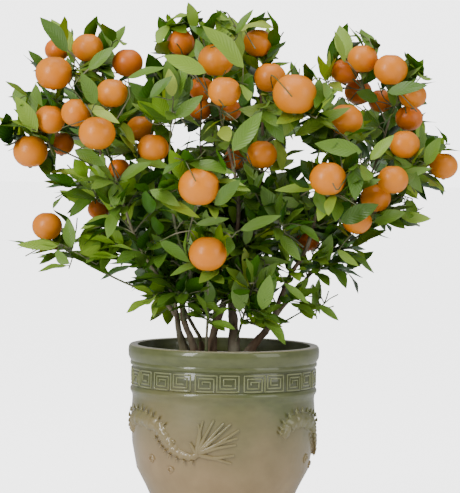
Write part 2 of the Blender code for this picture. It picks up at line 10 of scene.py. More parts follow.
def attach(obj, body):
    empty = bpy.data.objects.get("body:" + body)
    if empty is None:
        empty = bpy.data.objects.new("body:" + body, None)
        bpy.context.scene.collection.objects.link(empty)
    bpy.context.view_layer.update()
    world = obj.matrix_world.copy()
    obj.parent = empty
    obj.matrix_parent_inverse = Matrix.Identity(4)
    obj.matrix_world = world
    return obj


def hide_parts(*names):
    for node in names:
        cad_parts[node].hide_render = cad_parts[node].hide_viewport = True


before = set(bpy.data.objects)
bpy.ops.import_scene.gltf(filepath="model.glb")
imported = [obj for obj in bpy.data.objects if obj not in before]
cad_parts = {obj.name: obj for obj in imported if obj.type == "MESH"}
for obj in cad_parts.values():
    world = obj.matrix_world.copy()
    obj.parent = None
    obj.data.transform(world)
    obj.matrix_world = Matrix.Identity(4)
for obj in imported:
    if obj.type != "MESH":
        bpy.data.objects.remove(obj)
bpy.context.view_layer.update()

# The pot: thrown stoneware under a celadon glaze, with a rolled lip, a banded collar and a belly that
# draws in to the foot. The wall is one outline spun round the axis, hollow down to its thick floor.
MM = 0.001
POT_WALL = (
    (72.5, 0), (74.5, 2), (75, 10), (83, 30), (96, 58), (107.5, 80), (113.5, 112), (115.3, 148), (113.8, 168),
    (114.2, 173), (115.0, 174.5), (116.6, 177.5), (116.8, 180), (115.6, 182.5), (114.2, 184), (115.0, 185.5),
    (115.0, 206.0), (114.1, 207.2), (114.3, 208.6), (116.6, 210), (117.0, 212.5), (116.2, 215),
    (117.6, 217), (119.2, 220.5), (119.6, 228), (119.0, 232.5), (117.4, 234.7), (115.5, 235.0),
    (109.5, 235.0), (108.0, 234.2), (107.8, 229), (106.9, 221), (105.3, 148), (97.5, 80), (73, 30), (70, 15),
)  # radius and height in mm, from the foot up to the lip and down the inside
POT_FLOOR = 15
POT_TURNS = 144
OLIVE = (0.2, 0.22, 0.08)
CLAY = (0.27, 0.175, 0.075)
PALE_CLAY = (0.42, 0.30, 0.145)
BARE_LIP = (0.42, 0.38, 0.24)
POOLED_GLAZE = (0.065, 0.074, 0.018)
GLAZE_ENDS = (0.115, 0.225)  # heights in metres between which the clay gives way to glaze
LIP_ENDS = (0.2335, 0.2349)
BAND_MIDDLE = 0.1958
BAND_ENDS = (0.0112, 0.0128)  # half heights between which the pooled glaze of the band ends


def wall_radius(height):
    for (r0, z0), (r1, z1) in zip(POT_WALL, POT_WALL[1:]):
        if z0 <= height <= z1:
            return r0 + (r1 - r0) * (height - z0) / (z1 - z0)
    return POT_WALL[0][0]


def on_wall(turn, height, out):
    """A point on the pot's outer wall, turned in degrees from the front."""
    radius = (wall_radius(height) + out) * MM
    angle = math.radians(turn)
    return Vector((radius * math.sin(angle), -radius * math.cos(angle), height * MM))


def spun(outline, steps):
    """Turns the outline already in the mesh once round the pot's axis and closes its poles."""
    bmesh.ops.spin(
        outline, geom=outline.verts[:] + outline.edges[:], cent=(0, 0, 0), axis=(0, 0, 1), angle=math.tau,
        steps=steps, use_merge=True,
    )
    bmesh.ops.remove_doubles(outline, verts=outline.verts, dist=0.01 * MM)


def finish_piece(name, bm, material, nodes, smooth_angle=None):
    """The mesh as a piece of the one body, in place of the nodes given, smooth up to the angle in degrees."""
    mesh = bpy.data.meshes.new(name)
    bm.to_mesh(mesh)
    bm.free()
    mesh.materials.append(material)
    if smooth_angle is not None:
        mesh.shade_smooth()
        mesh.set_sharp_from_angle(angle=math.radians(smooth_angle))
    piece = bpy.data.objects.new(name, mesh)
    bpy.context.scene.collection.objects.link(piece)
    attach(piece, "root")
    if nodes:
        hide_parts(*nodes)


def surface(name, colour, roughness, coat=0.0, coat_roughness=0.05):
    material = bpy.data.materials.new(name)
    material.use_nodes = True
    shader = material.node_tree.nodes["Principled BSDF"]
    shader.inputs["Base Color"].default_value = (*colour, 1)
    shader.inputs["Roughness"].default_value = roughness
    shader.inputs["Coat Weight"].default_value = coat
    shader.inputs["Coat Roughness"].default_value = coat_roughness
    material.diffuse_color = (*colour, 1)
    return material, material.node_tree, shader


def noise_at(tree, scale, detail=4, stretch=(1, 1, 1)):
    at = tree.nodes.new("ShaderNodeTexCoord")
    mapping = tree.nodes.new("ShaderNodeMapping")
    mapping.inputs["Scale"].default_value = stretch
    texture = tree.nodes.new("ShaderNodeTexNoise")
    texture.inputs["Scale"].default_value = scale
    texture.inputs["Detail"].default_value = detail
    tree.links.new(at.outputs["Object"], mapping.inputs["Vector"])
    tree.links.new(mapping.outputs["Vector"], texture.inputs["Vector"])
    return texture.outputs["Fac"]


def mix_colours(tree, factor, first, second):
    """The factor is a socket, and each of the other two a socket or else a plain colour."""
    mix = tree.nodes.new("ShaderNodeMix")
    mix.data_type = "RGBA"
    tree.links.new(factor, mix.inputs[0])
    for socket, value in ((mix.inputs[6], first), (mix.inputs[7], second)):
        if isinstance(value, tuple):
            socket.default_value = (*value, 1)
        else:
            tree.links.new(value, socket)
    return mix.outputs[2]


def stepped(tree, value, ends):
    ramp = tree.nodes.new("ShaderNodeMapRange")
    ramp.inputs["From Min"].default_value, ramp.inputs["From Max"].default_value = ends
    tree.links.new(value, ramp.inputs["Value"])
    return ramp.outputs["Result"]


def reckoned(tree, operation, *values):
    """A Math node: each value is a socket, or else a plain number."""
    node = tree.nodes.new("ShaderNodeMath")
    node.operation = operation
    for socket, value in zip(node.inputs, values):
        if isinstance(value, (int, float)):
            socket.default_value = value
        else:
            tree.links.new(value, socket)
    return node.outputs[0]


def node_group(name, inputs, outputs):
    """A shader node group with named sockets, given as (label, kind): its tree, inputs and outputs."""
    tree = bpy.data.node_groups.new(name, "ShaderNodeTree")
    for in_out, sockets in (("INPUT", inputs), ("OUTPUT", outputs)):
        for label, kind in sockets:
            tree.interface.new_socket(label, in_out=in_out, socket_type=f"NodeSocket{kind}")
    return tree, tree.nodes.new("NodeGroupInput").outputs, tree.nodes.new("NodeGroupOutput").inputs


def placed(tree, group, **values):
    """The group set in a material with the material's own values."""
    node = tree.nodes.new("ShaderNodeGroup")
    node.node_tree = group
    for label, value in values.items():
        node.inputs[label].default_value = (*value, 1) if isinstance(value, tuple) else value
    return node.outputs


def bumped(tree, shader, height, strength, distance):
    bump = tree.nodes.new("ShaderNodeBump")
    bump.inputs["Strength"].default_value = strength
    bump.inputs["Distance"].default_value = distance
    tree.links.new(height, bump.inputs["Height"])
    tree.links.new(bump.outputs["Normal"], shader.inputs["Normal"])


def glaze_over_clay():
    """The glaze's colours: cloudy green that thins to bare clay low down, darker where it pools."""
    tree, given, out = node_group(
        "glaze_over_clay", (("Low", "Color"), ("High", "Color"), ("Pooled", "Float")),
        (("Colour", "Color"), ("Roughness", "Float"), ("Height", "Float")),
    )
    split = tree.nodes.new("ShaderNodeSeparateXYZ")
    tree.links.new(tree.nodes.new("ShaderNodeTexCoord").outputs["Object"], split.inputs["Vector"])
    cloud = noise_at(tree, 14, 5)
    height = reckoned(tree, "MULTIPLY_ADD", cloud, 0.085, split.outputs["Z"])
    height = reckoned(tree, "MULTIPLY_ADD", split.outputs["X"], 0.16, height)
    clay = mix_colours(tree, noise_at(tree, 45, 6), CLAY, PALE_CLAY)
    green = mix_colours(tree, noise_at(tree, 60, 6, (1, 1, 2.5)), given["Low"], given["High"])
    off = reckoned(tree, "ABSOLUTE", reckoned(tree, "SUBTRACT", split.outputs["Z"], BAND_MIDDLE))
    off_band = stepped(tree, off, BAND_ENDS)
    unpooled = reckoned(tree, "MAXIMUM", off_band, reckoned(tree, "SUBTRACT", 1.0, given["Pooled"]))
    green = mix_colours(tree, unpooled, POOLED_GLAZE, green)
    body = mix_colours(tree, stepped(tree, height, GLAZE_ENDS), clay, green)
    lip = mix_colours(tree, stepped(tree, split.outputs["Z"], LIP_ENDS), body, BARE_LIP)
    tree.links.new(lip, out["Colour"])
    tree.links.new(stepped(tree, cloud, (-1.4, 3.2)), out["Roughness"])
    tree.links.new(noise_at(tree, 120, 3), out["Height"])
    return tree


GLAZE = glaze_over_clay()


def celadon(name, low, high, pooled=0.0):
    material, tree, shader = surface(name, OLIVE, 0.22, 0.7, 0.06)
    glaze = placed(tree, GLAZE, Low=low, High=high, Pooled=pooled)
    tree.links.new(glaze["Colour"], shader.inputs["Base Color"])
    tree.links.new(glaze["Roughness"], shader.inputs["Roughness"])
    bumped(tree, shader, glaze["Height"], 0.25, 0.0008)
    return material


bm = bmesh.new()
outline = [(0, 0), *POT_WALL, (0, POT_FLOOR)]
points = [bm.verts.new((radius * MM, 0, height * MM)) for radius, height in outline]
for pair in zip(points, points[1:]):
    bm.edges.new(pair)
spun(bm, POT_TURNS)
bmesh.ops.recalc_face_normals(bm, faces=bm.faces)
pot_glaze = celadon("celadon_glaze", (0.06, 0.075, 0.014), (0.14, 0.155, 0.042), 1.0)
finish_piece("pot_wall", bm, pot_glaze, ["pot"], 50)


# The key band: twelve pairs of square spirals, joined in twos, that stand as thin ridges round the collar.
# Each pair is one ridge, drawn out along the spiral, and the glaze breaks paler along it. Its corners are
# given across in mm, and up in fifths of the band's height.
KEY_LOW = 185.8
KEY_HIGH = 205.4
KEY_OUT = 26.8
KEY_IN = 3.8
KEY_LANE = 4.3
KEY_PAIRS = 12
KEY_FIRST = -33.9  # degrees from the front
KEY_STEP = 3
COLLAR = 115
RIDGE = 1.05 * MM


def face_outward(bm):
    bmesh.ops.recalc_face_normals(bm, faces=bm.faces)
    if bm.calc_volume(signed=True) < 0:
        bmesh.ops.reverse_faces(bm, faces=bm.faces)


def smooth_route(points, step):
    """Points about one step apart on a smooth curve through the given ones."""
    ends = [2 * points[0] - points[1], *points, 2 * points[-1] - points[-2]]
    route = []
    for before, start, end, after in zip(ends, ends[1:], ends[2:], ends[3:]):
        pieces = max(1, round((end - start).length / step))
        for piece in range(pieces):
            t = piece / pieces
            route.append(0.5 * (
                2 * start
                + (end - before) * t
                + (2 * before - 5 * start + 4 * end - after) * t ** 2
                + (3 * start - before - 3 * end + after) * t ** 3
            ))
    return [*route, points[-1]]


def directions(route):
    steps = [(b - a).normalized() for a, b in zip(route, route[1:])]
    middles = [(a + b).normalized() for a, b in zip(steps, steps[1:])]
    return [steps[0], *middles, steps[-1]]


def ring_places(middle, direction, across, radius, sides):
    other = direction.cross(across)
    turns = [math.tau * i / sides for i in range(sides)]
    return [middle + radius * (math.cos(t) * across + math.sin(t) * other) for t in turns]


def draw_out(bm, route, radii, sides, swell=None):
    """A limb or ridge in the mesh: a ring drawn out along the route, its corners moved by swell if given."""
    aims = directions(route)
    across = aims[0].orthogonal().normalized()
    face = bm.faces.new([bm.verts.new() for _ in range(sides)])
    for number, (middle, aim, radius) in enumerate(zip(route, aims, radii)):
        if number:
            face = bmesh.ops.extrude_discrete_faces(bm, faces=[face])["faces"][0]
            across = (across - across.dot(aim) * aim).normalized()
        for vert, at in zip(face.verts, ring_places(middle, aim, across, radius, sides)):
            vert.co = at if swell is None else middle + (at - middle) * swell(at, number)


def close_ends(bm):
    bmesh.ops.holes_fill(bm, edges=[edge for edge in bm.edges if edge.is_boundary])
    face_outward(bm)


KEY_FIFTH = (KEY_HIGH - KEY_LOW) / 5
lane_1 = KEY_LANE - KEY_OUT
lane_2 = 2 * KEY_LANE - KEY_OUT
half_key = [
    (0, 5), (-KEY_OUT, 5), (-KEY_OUT, 0), (-KEY_IN, 0), (-KEY_IN, 4), (lane_1, 4), (lane_1, 1),
    (-KEY_IN - KEY_LANE, 1), (-KEY_IN - KEY_LANE, 3), (lane_2, 3), (lane_2, 2.1),
]
whole_key = [*reversed(half_key), *((-x, 5 - level) for x, level in half_key)]
key_glaze = celadon("celadon_on_ridges", (0.16, 0.175, 0.064), (0.24, 0.255, 0.102))
for number in range(KEY_PAIRS):
    bm = bmesh.new()
    middle_turn = KEY_FIRST + 360 / KEY_PAIRS * number
    route = []
    for (x0, level0), (x1, level1) in zip(whole_key, whole_key[1:]):
        pieces = max(1, round((abs(x1 - x0) + KEY_FIFTH * abs(level1 - level0)) / KEY_STEP))
        for i in range(pieces):
            x = x0 + (x1 - x0) * i / pieces
            height = KEY_LOW + KEY_FIFTH * (level0 + (level1 - level0) * i / pieces)
            route.append(on_wall(middle_turn + math.degrees(x / COLLAR), height, 0.0))
    draw_out(bm, route, [RIDGE] * len(route), 6)
    close_ends(bm)
    finish_piece(f"key_ridge_{number + 1}", bm, key_glaze, [], 60)


# The creature in relief: a scaly body that winds down the belly of the pot to a fan of tail rays,
# repeated three times round it. It is pressed clay under the same glaze and stands out about 4 mm.
# Routes and tips are (degrees from the front, height in mm).
BODY = (
    (-80, 128), (-75, 142), (-66, 147), (-55, 145), (-43.7, 138.4), (-38.1, 124.6), (-30.7, 111),
    (-20.6, 105), (-14.6, 110),
)
BODY_WIDTHS = (7, 12, 13.5, 13, 11.5, 10, 8, 6, 4)
BODY_SIDES = 26
TAIL_TURN = -16
TAIL_HEIGHT = 109
TAIL = (
    (-20.4, 123), (-15, 146), (-12.1, 150), (-5.4, 151.3), (0.7, 148), (4.9, 147), (10, 139.4), (9, 129.6),
    (8.2, 121.1), (7.2, 108), (5.5, 98),
)
CURLS = ((-33, 121, 3.5), (-52, 97, 6), (-36, 86, 5))  # and how far each curl reaches
CURL_POINTS = 22
CREATURE_OUT = 4.4
COPIES = 3


def scaled(at, number):
    return 1 + 0.3 * (0.45 - noise.voronoi(at * 230)[0][0])


def width_along(share):
    """The body's half width at this share of its length."""
    along = share * (len(BODY_WIDTHS) - 1)
    low = min(int(along), len(BODY_WIDTHS) - 2)
    return BODY_WIDTHS[low] + (along - low) * (BODY_WIDTHS[low + 1] - BODY_WIDTHS[low])


def add_crest(bm, route, sizes):
    """Short spikes along the body's upper edge, and along its outer edge past the bend."""
    count = len(route)
    for i in range(2, count - 6, 5):
        outward = Vector((route[i].x, route[i].y, 0)).normalized()
        run = (route[i + 1] - route[i - 1]).normalized()
        side = run.cross(outward).normalized()
        side = side if side.z > 0 or i > 0.55 * count else -side
        foot = route[i] + side * sizes[i] * 0.85 + outward * (sizes[i] - 1.6 * MM)
        spike = [foot, foot + 3 * MM * side, foot + 6 * MM * side + MM * run]
        draw_out(bm, spike, [2 * MM, 1.3 * MM, 0.3 * MM], 8)


relief_glaze = celadon("celadon_on_relief", (0.11, 0.125, 0.039), (0.19, 0.205, 0.072))
for copy in range(COPIES):
    bm = bmesh.new()
    turned_by = 360 / COPIES * copy
    fine = smooth_route([Vector((turn, height, 0)) for turn, height in BODY], 1.0)
    widths = [width_along(i / (len(fine) - 1)) for i in range(len(fine))]
    sizes = [width * MM for width in widths]
    route = [on_wall(at.x + turned_by, at.y, CREATURE_OUT - width) for at, width in zip(fine, widths)]
    draw_out(bm, route, sizes, BODY_SIDES, scaled)
    add_crest(bm, route, sizes)
    for number, (turn, height) in enumerate(TAIL):
        bend_by = 4 * math.sin(number * 1.9)
        halfway = ((turn + TAIL_TURN) / 2 + bend_by * 0.4, (height + TAIL_HEIGHT) / 2 + bend_by)
        ray_places = ((TAIL_TURN, TAIL_HEIGHT), halfway, (turn, height))
        fine = smooth_route([Vector((*at, 0)) for at in ray_places], 2.5)
        ray = [on_wall(point.x + turned_by, point.y, 0.6) for point in fine]
        draw_out(bm, ray, [(3.3 - 1.9 * i / len(ray)) * MM for i in range(len(ray))], 8)
    for turn, height, size in CURLS:
        curl = []
        for i in range(CURL_POINTS):
            angle = i * 0.42
            reach = size * (1 - 0.036 * i)
            turn_there = turn + turned_by + reach * math.cos(angle) / 2
            curl.append(on_wall(turn_there, height + reach * math.sin(angle), 0.2))
        draw_out(bm, curl, [(1.9 - 0.05 * i) * MM for i in range(CURL_POINTS)], 8)
    close_ends(bm)
    finish_piece(f"creature_relief_{copy + 1}", bm, relief_glaze, [], 70)


# The compost: bark chips and crumbs that fill the pot to a little below its lip. The bed is one turned
# body with a rough top, and loose chips lie on it.
SOIL_TOP = 217 * MM
BED_OUTLINE = (
    (0, 15.3), (69.7, 15.3), (72.7, 30), (97.2, 80), (105, 148), (106.4, 214), (100, 215), (70, 216),
    (40, 216.6), (0, 217),
)  # radius and height in mm, from the pot's floor up its wall and in to the middle
BED_TOP = 6  # the edge of the outline at which the rough top begins
BED_TURNS = 90
ROUGH_ABOVE = 214.5 * MM
CHIPS = 420
CHIPS_REACH = 100 * MM
CHIP_SIZES = ((4, 13), (2.5, 6), (1.2, 3))  # least and most, in mm
bark_chips, tree, shader = surface("bark_compost", (0.05, 0.03, 0.017), 0.92)
chip_colour = mix_colours(tree, noise_at(tree, 160, 6), (0.018, 0.011, 0.007), (0.13, 0.08, 0.045))
tree.links.new(chip_colour, shader.inputs["Base Color"])
bumped(tree, shader, noise_at(tree, 420, 6), 0.8, 0.002)
bm = bmesh.new()
points = [bm.verts.new((radius * MM, 0, height * MM)) for radius, height in BED_OUTLINE]
edges = [bm.edges.new(pair) for pair in zip(points, points[1:])]
bmesh.ops.subdivide_edges(bm, edges=edges[BED_TOP:], cuts=7)
spun(bm, BED_TURNS)
for vert in bm.verts:
    if vert.co.z > ROUGH_ABOVE:
        vert.co.z += 2.2 * MM * noise.noise(vert.co * 170) + 1.2 * MM * noise.noise(vert.co * 420)
face_outward(bm)
finish_piece("compost_bed", bm, bark_chips, ["soil"], 60)
bm = bmesh.new()
rng = random.Random(5)
for _ in range(CHIPS):
    reach = CHIPS_REACH * math.sqrt(rng.random())
    turn = rng.uniform(0, math.tau)
    lie_at = (reach * math.cos(turn), reach * math.sin(turn), SOIL_TOP + rng.uniform(0, 1.6) * MM)
    turned = Matrix.Rotation(rng.uniform(0, math.tau), 4, "Z")
    tilted = Matrix.Rotation(rng.uniform(-0.5, 0.5), 4, "X")
    size = Matrix.Diagonal((*(rng.uniform(*ends) * MM for ends in CHIP_SIZES), 1))
    bmesh.ops.create_cube(bm, size=1, matrix=Matrix.Translation(lie_at) @ (turned @ tilted) @ size)
finish_piece("compost_chips", bm, bark_chips, ["soil"])


# Stems and boughs: seven stems rise from the compost and fork into slim boughs. Each is a tapering limb
# with furrowed bark, drawn out along its own route, greyish olive to orange brown. A row gives the limb
# it grows from, its radius at the foot and at the tip, and its route (across, up, behind), in mm.
GAP = 0.3 * MM
EYE_DISTANCE = 4.0
EYE_HEIGHT = 0.56
GROUND = ("", 0)
START_STEP = 0.2 * MM
START_GAP = 0.1 * MM
STEM_STEP = 14 * MM
BOUGH_STEP = 28 * MM
FLARE = 1.35
FLARE_REACH = 14 * MM
BOUGH_SIDES = 6
BARK_SIDES = 14
BARK_STEP = 3 * MM
BARK_INSET = 0.97
LICHEN = (0.30, 0.27, 0.19)
UP = Vector((0, 0, 1))
LIMBS = {
    "stem_left": (GROUND, 5.2, 3.4, ((-46, 218, 6), (-51, 232, 4), (-56, 249, 2), (-59, 265, 0))),
    "stem_brown": (GROUND, 4.6, 3.0, (
        (-35, 218, -8), (-38, 231, -9), (-43, 245, -10), (-49, 259, -12), (-53, 280, -14), (-55, 302, -15))),
    "stem_short": (GROUND, 5.6, 3.2, ((-26, 218, 12), (-27, 228, 12), (-29, 238, 12))),
    "stem_middle": (GROUND, 5.4, 3.6, (
        (-16, 218, -14), (-15, 230, -14), (-13, 249, -14), (-7, 268, -15), (-1, 287, -16), (2, 306, -16),
        (6, 322, -14))),
    "stem_thick": (GROUND, 6.8, 4.4, (
        (13, 218, 4), (12, 233, 4), (12, 252, 5), (10, 271, 8), (10, 288, 11), (13, 307, 14), (17, 326, 17))),
    "stem_right": (GROUND, 5.6, 3.8, (
        (29, 218, -4), (34, 230, -4), (42, 241, -5), (53, 254, -6), (60, 267, -6))),
    "stem_shoot": (GROUND, 1.9, 1.4, ((-22, 218, -26), (-22, 240, -28), (-21, 265, -38), (-21, 283, -50))),
    "bough_left_high": (("stem_left", 1), 3.0, 1.5, (
        (-67, 276, 4), (-77, 292, 10), (-91, 317, 16), (-104, 342, 20), (-116, 367, 24), (-127, 396, 28),
        (-142, 431, 32), (-156, 468, 34), (-166, 506, 32), (-174, 538, 26))),
    "bough_left_front": (("stem_left", 0.8), 2.4, 1.3, (
        (-63, 292, -14), (-75, 310, -26), (-89, 327, -36), (-105, 352, -48), (-120, 386, -60),
        (-133, 426, -70), (-143, 458, -76))),
    "bough_green": (("stem_brown", 0.5), 2.2, 1.3, (
        (-52, 279, -34), (-47, 295, -42), (-43, 315, -48), (-45, 335, -54), (-52, 352, -60), (-61, 372, -64),
        (-67, 408, -68), (-71, 450, -70), (-71, 483, -72))),
    "bough_low_left": (("bough_left_high", 0.1), 1.6, 1.1, (
        (-90, 297, 4), (-110, 304, -2), (-130, 313, -6), (-150, 322, -8), (-169, 331, -8))),
    "bough_brown": (("stem_brown", 1), 2.7, 1.4, (
        (-60, 325, -12), (-62, 345, -6), (-67, 370, 2), (-76, 397, 6), (-88, 427, 2), (-97, 452, -6))),
    "bough_slim": (("stem_short", 1), 2.4, 1.4, (
        (-35, 251, 16), (-43, 265, 24), (-54, 285, 38), (-69, 312, 60), (-84, 344, 82), (-99, 374, 100))),
    "bough_centre": (("stem_middle", 1), 3.2, 1.5, (
        (9, 343, -12), (12, 362, -10), (15, 383, -10), (16, 410, -14), (12, 441, -22), (3, 476, -28),
        (-6, 511, -34), (-13, 545, -38))),
    "bough_dark": (("stem_middle", 0.35), 2.0, 1.3, (
        (-13, 273, 2), (-8, 293, 8), (-5, 313, 14), (-4, 338, 24), (-8, 371, 36), (-17, 408, 46),
        (-27, 447, 50), (-33, 484, 50))),
    "bough_upright": (("stem_thick", 1), 3.6, 1.5, (
        (23, 343, 18), (32, 366, 16), (39, 396, 12), (43, 434, 8), (45, 474, 4), (44, 514, 2), (41, 549, 0))),
    "bough_back": (("stem_thick", 0.8), 2.6, 1.6, (
        (15, 328, 34), (11, 358, 60), (4, 391, 88), (-3, 421, 112))),
    "bough_right": (("stem_right", 1), 3.3, 1.5, (
        (64, 279, -6), (70, 295, -8), (76, 309, -10), (81, 322, -12), (90, 337, -14), (100, 353, -16),
        (108, 377, -20), (114, 410, -24), (120, 447, -30), (127, 477, -34))),
    "bough_far": (("stem_right", 0.9), 2.8, 1.9, (
        (69, 279, 4), (80, 292, 8), (95, 310, 12), (105, 323, 14), (116, 337, 16), (126, 349, 18))),
    "bough_right_tip": (("bough_far", 1), 1.7, 1.2, ((140, 357, 12), (158, 368, 4), (171, 376, -4))),
    "bough_right_up": (("bough_far", 0.9), 1.8, 1.3, (
        (136, 360, 26), (149, 380, 34), (165, 410, 42), (180, 448, 42), (193, 486, 34), (202, 518, 24))),
    "bough_clump": (("stem_thick", 0.25), 1.7, 1.2, ((20, 255, -14), (23, 268, -24), (28, 286, -36))),
    "bough_sprig": (("stem_right", 0.7), 1.4, 1.0, ((61, 256, -2), (78, 266, 0), (98, 278, 0))),
}


def place(across, up, behind):
    """The point at this depth that is seen at (across, up), given in millimetres."""
    along = 1 + behind * MM / EYE_DISTANCE
    return Vector((across * MM * along, behind * MM, EYE_HEIGHT + (up * MM - EYE_HEIGHT) * along))


class Limb:
    def __init__(self, route, radii):
        self.route = route
        self.radii = radii

    def at(self, share):
        """(place, direction, radius) this share of the way along."""
        count = len(self.route) - 1
        step = min(count - 1, int(share * count))
        rest = share * count - step
        place_there = self.route[step].lerp(self.route[step + 1], rest)
        radius = self.radii[step] + rest * (self.radii[step + 1] - self.radii[step])
        return place_there, (self.route[step + 1] - self.route[step]).normalized(), radius


def taper(route, foot, tip):
    """Radii that fall evenly with the distance along the route."""
    lengths = [0]
    for a, b in zip(route, route[1:]):
        lengths.append(lengths[-1] + (b - a).length)
    return [foot + (tip - foot) * length / lengths[-1] for length in lengths]


def clear_of_limbs(points, limbs, clearance):
    """Whether every point keeps its distance from every limb's surface."""
    if not limbs or not points:
        return True
    starts = np.array([a for limb in limbs for a in limb.route[:-1]])
    runs = np.array([b - a for limb in limbs for a, b in zip(limb.route, limb.route[1:])])
    widths = np.array([max(pair) for limb in limbs for pair in zip(limb.radii, limb.radii[1:])])
    points = np.array(points)[:, None]
    share = ((points - starts) * runs).sum(2) / (runs * runs).sum(1)
    nearest = starts + np.clip(share, 0, 1)[..., None] * runs
    return bool((np.linalg.norm(points - nearest, axis=2) - widths > clearance).all())


def clear_start(route, foot, sides, limbs):
    """The route, cut short at its foot until its first ring stands clear of every limb already there."""
    fine = smooth_route(route, START_STEP)
    for number, (middle, aim) in enumerate(zip(fine, directions(fine))):
        ring = ring_places(middle, aim, aim.orthogonal().normalized(), foot, 2 * sides)
        if clear_of_limbs(ring, limbs, START_GAP):
            return fine[number:]
    return fine[-2:]


def thinned(route, step):
    """Every few points of a fine route, with both its ends."""
    kept = [route[0]]
    for point in route[1:-1]:
        if (point - kept[-1]).length >= step and (point - route[-1]).length >= 0.5 * step:
            kept.append(point)
    return [*kept, route[-1]]


def grow_limb(origin, foot, tip, route_mm, limbs):
    """A limb that goes on from another's tip, leaves its side, or stands in the soil."""
    parent_name, share = origin
    foot, tip = foot * MM, tip * MM
    route = [place(*point) for point in route_mm]
    if not parent_name:
        base = Vector((route[0].x, route[0].y, SOIL_TOP + GAP))
        route = smooth_route([base, base + 3 * MM * UP, *route[1:]], STEM_STEP)
        radii = taper(route, foot, tip)
        flared = [
            radius * (1 + (FLARE - 1) * max(0, 1 - (point - base).length / FLARE_REACH) ** 2)
            for point, radius in zip(route, radii)
        ]
        return Limb(route, flared)
    start, aim, _ = limbs[parent_name].at(share)
    if share == 1:
        begun = start + GAP * aim
        bent = smooth_route([begun + 4 * MM * aim, *route], 2 * MM)
        route = [begun, *thinned(bent, BOUGH_STEP)]
    else:
        route = thinned(clear_start([start, *route], foot, BOUGH_SIDES, list(limbs.values())), BOUGH_STEP)
    return Limb(route, taper(route, foot, tip))


def furrowed_bark():
    """Bark's colours: long furrows between a dark and a pale tone, with grey patches."""
    tree, given, out = node_group(
        "furrowed_bark", (("Dark", "Color"), ("Pale", "Color")), (("Colour", "Color"), ("Height", "Float")),
    )
    furrows = noise_at(tree, 190, 8, (1, 1, 0.22))
    rough = mix_colours(tree, furrows, given["Dark"], given["Pale"])
    patches = stepped(tree, noise_at(tree, 38, 4), (0.42, 0.75))
    tree.links.new(mix_colours(tree, patches, rough, LICHEN), out["Colour"])
    tree.links.new(furrows, out["Height"])
    return tree


BARK = furrowed_bark()


def bark_of(name, dark, pale):
    material, tree, shader = surface(name, pale, 0.8)
    bark = placed(tree, BARK, Dark=dark, Pale=pale)
    tree.links.new(bark["Colour"], shader.inputs["Base Color"])
    bumped(tree, shader, bark["Height"], 0.9, 0.0022)
    return material


brown_bark = bark_of("brown_bark", (0.045, 0.026, 0.015), (0.25, 0.155, 0.085))
olive_bark = bark_of("olive_bark", (0.05, 0.045, 0.02), (0.22, 0.19, 0.09))
young_bark = bark_of("young_bark", (0.045, 0.065, 0.015), (0.13, 0.17, 0.05))
OLIVE_LIMBS = ("stem_left", "bough_left_front", "bough_slim", "bough_right_up")
YOUNG_LIMBS = ("stem_shoot", "bough_green", "bough_low_left", "bough_right_tip", "bough_clump", "bough_sprig")


def furrowed(at, number):
    furrow = 0.16 * noise.noise(Vector((at.x, at.y, at.z * 0.25)) * 330)
    return 1 + furrow + 0.09 * noise.noise(at * 210) + 0.05 * math.sin(number * 0.9)


def radii_along(limb, count, scale):
    """The limb's radii at evenly shared places from its foot to its tip."""
    return [limb.at(min(i / (count - 1), 0.999))[2] * scale for i in range(count)]


limbs = {}
for name, (origin, foot, tip, route) in LIMBS.items():
    limbs[name] = grow_limb(origin, foot, tip, route, limbs)
    fine = smooth_route(limbs[name].route, BARK_STEP)
    bm = bmesh.new()
    draw_out(bm, fine, radii_along(limbs[name], len(fine), BARK_INSET), BARK_SIDES, furrowed)
    close_ends(bm)
    bark = olive_bark if name in OLIVE_LIMBS else young_bark if name in YOUNG_LIMBS else brown_bark
    finish_piece(f"bark_{name}", bm, bark, [name], 75)


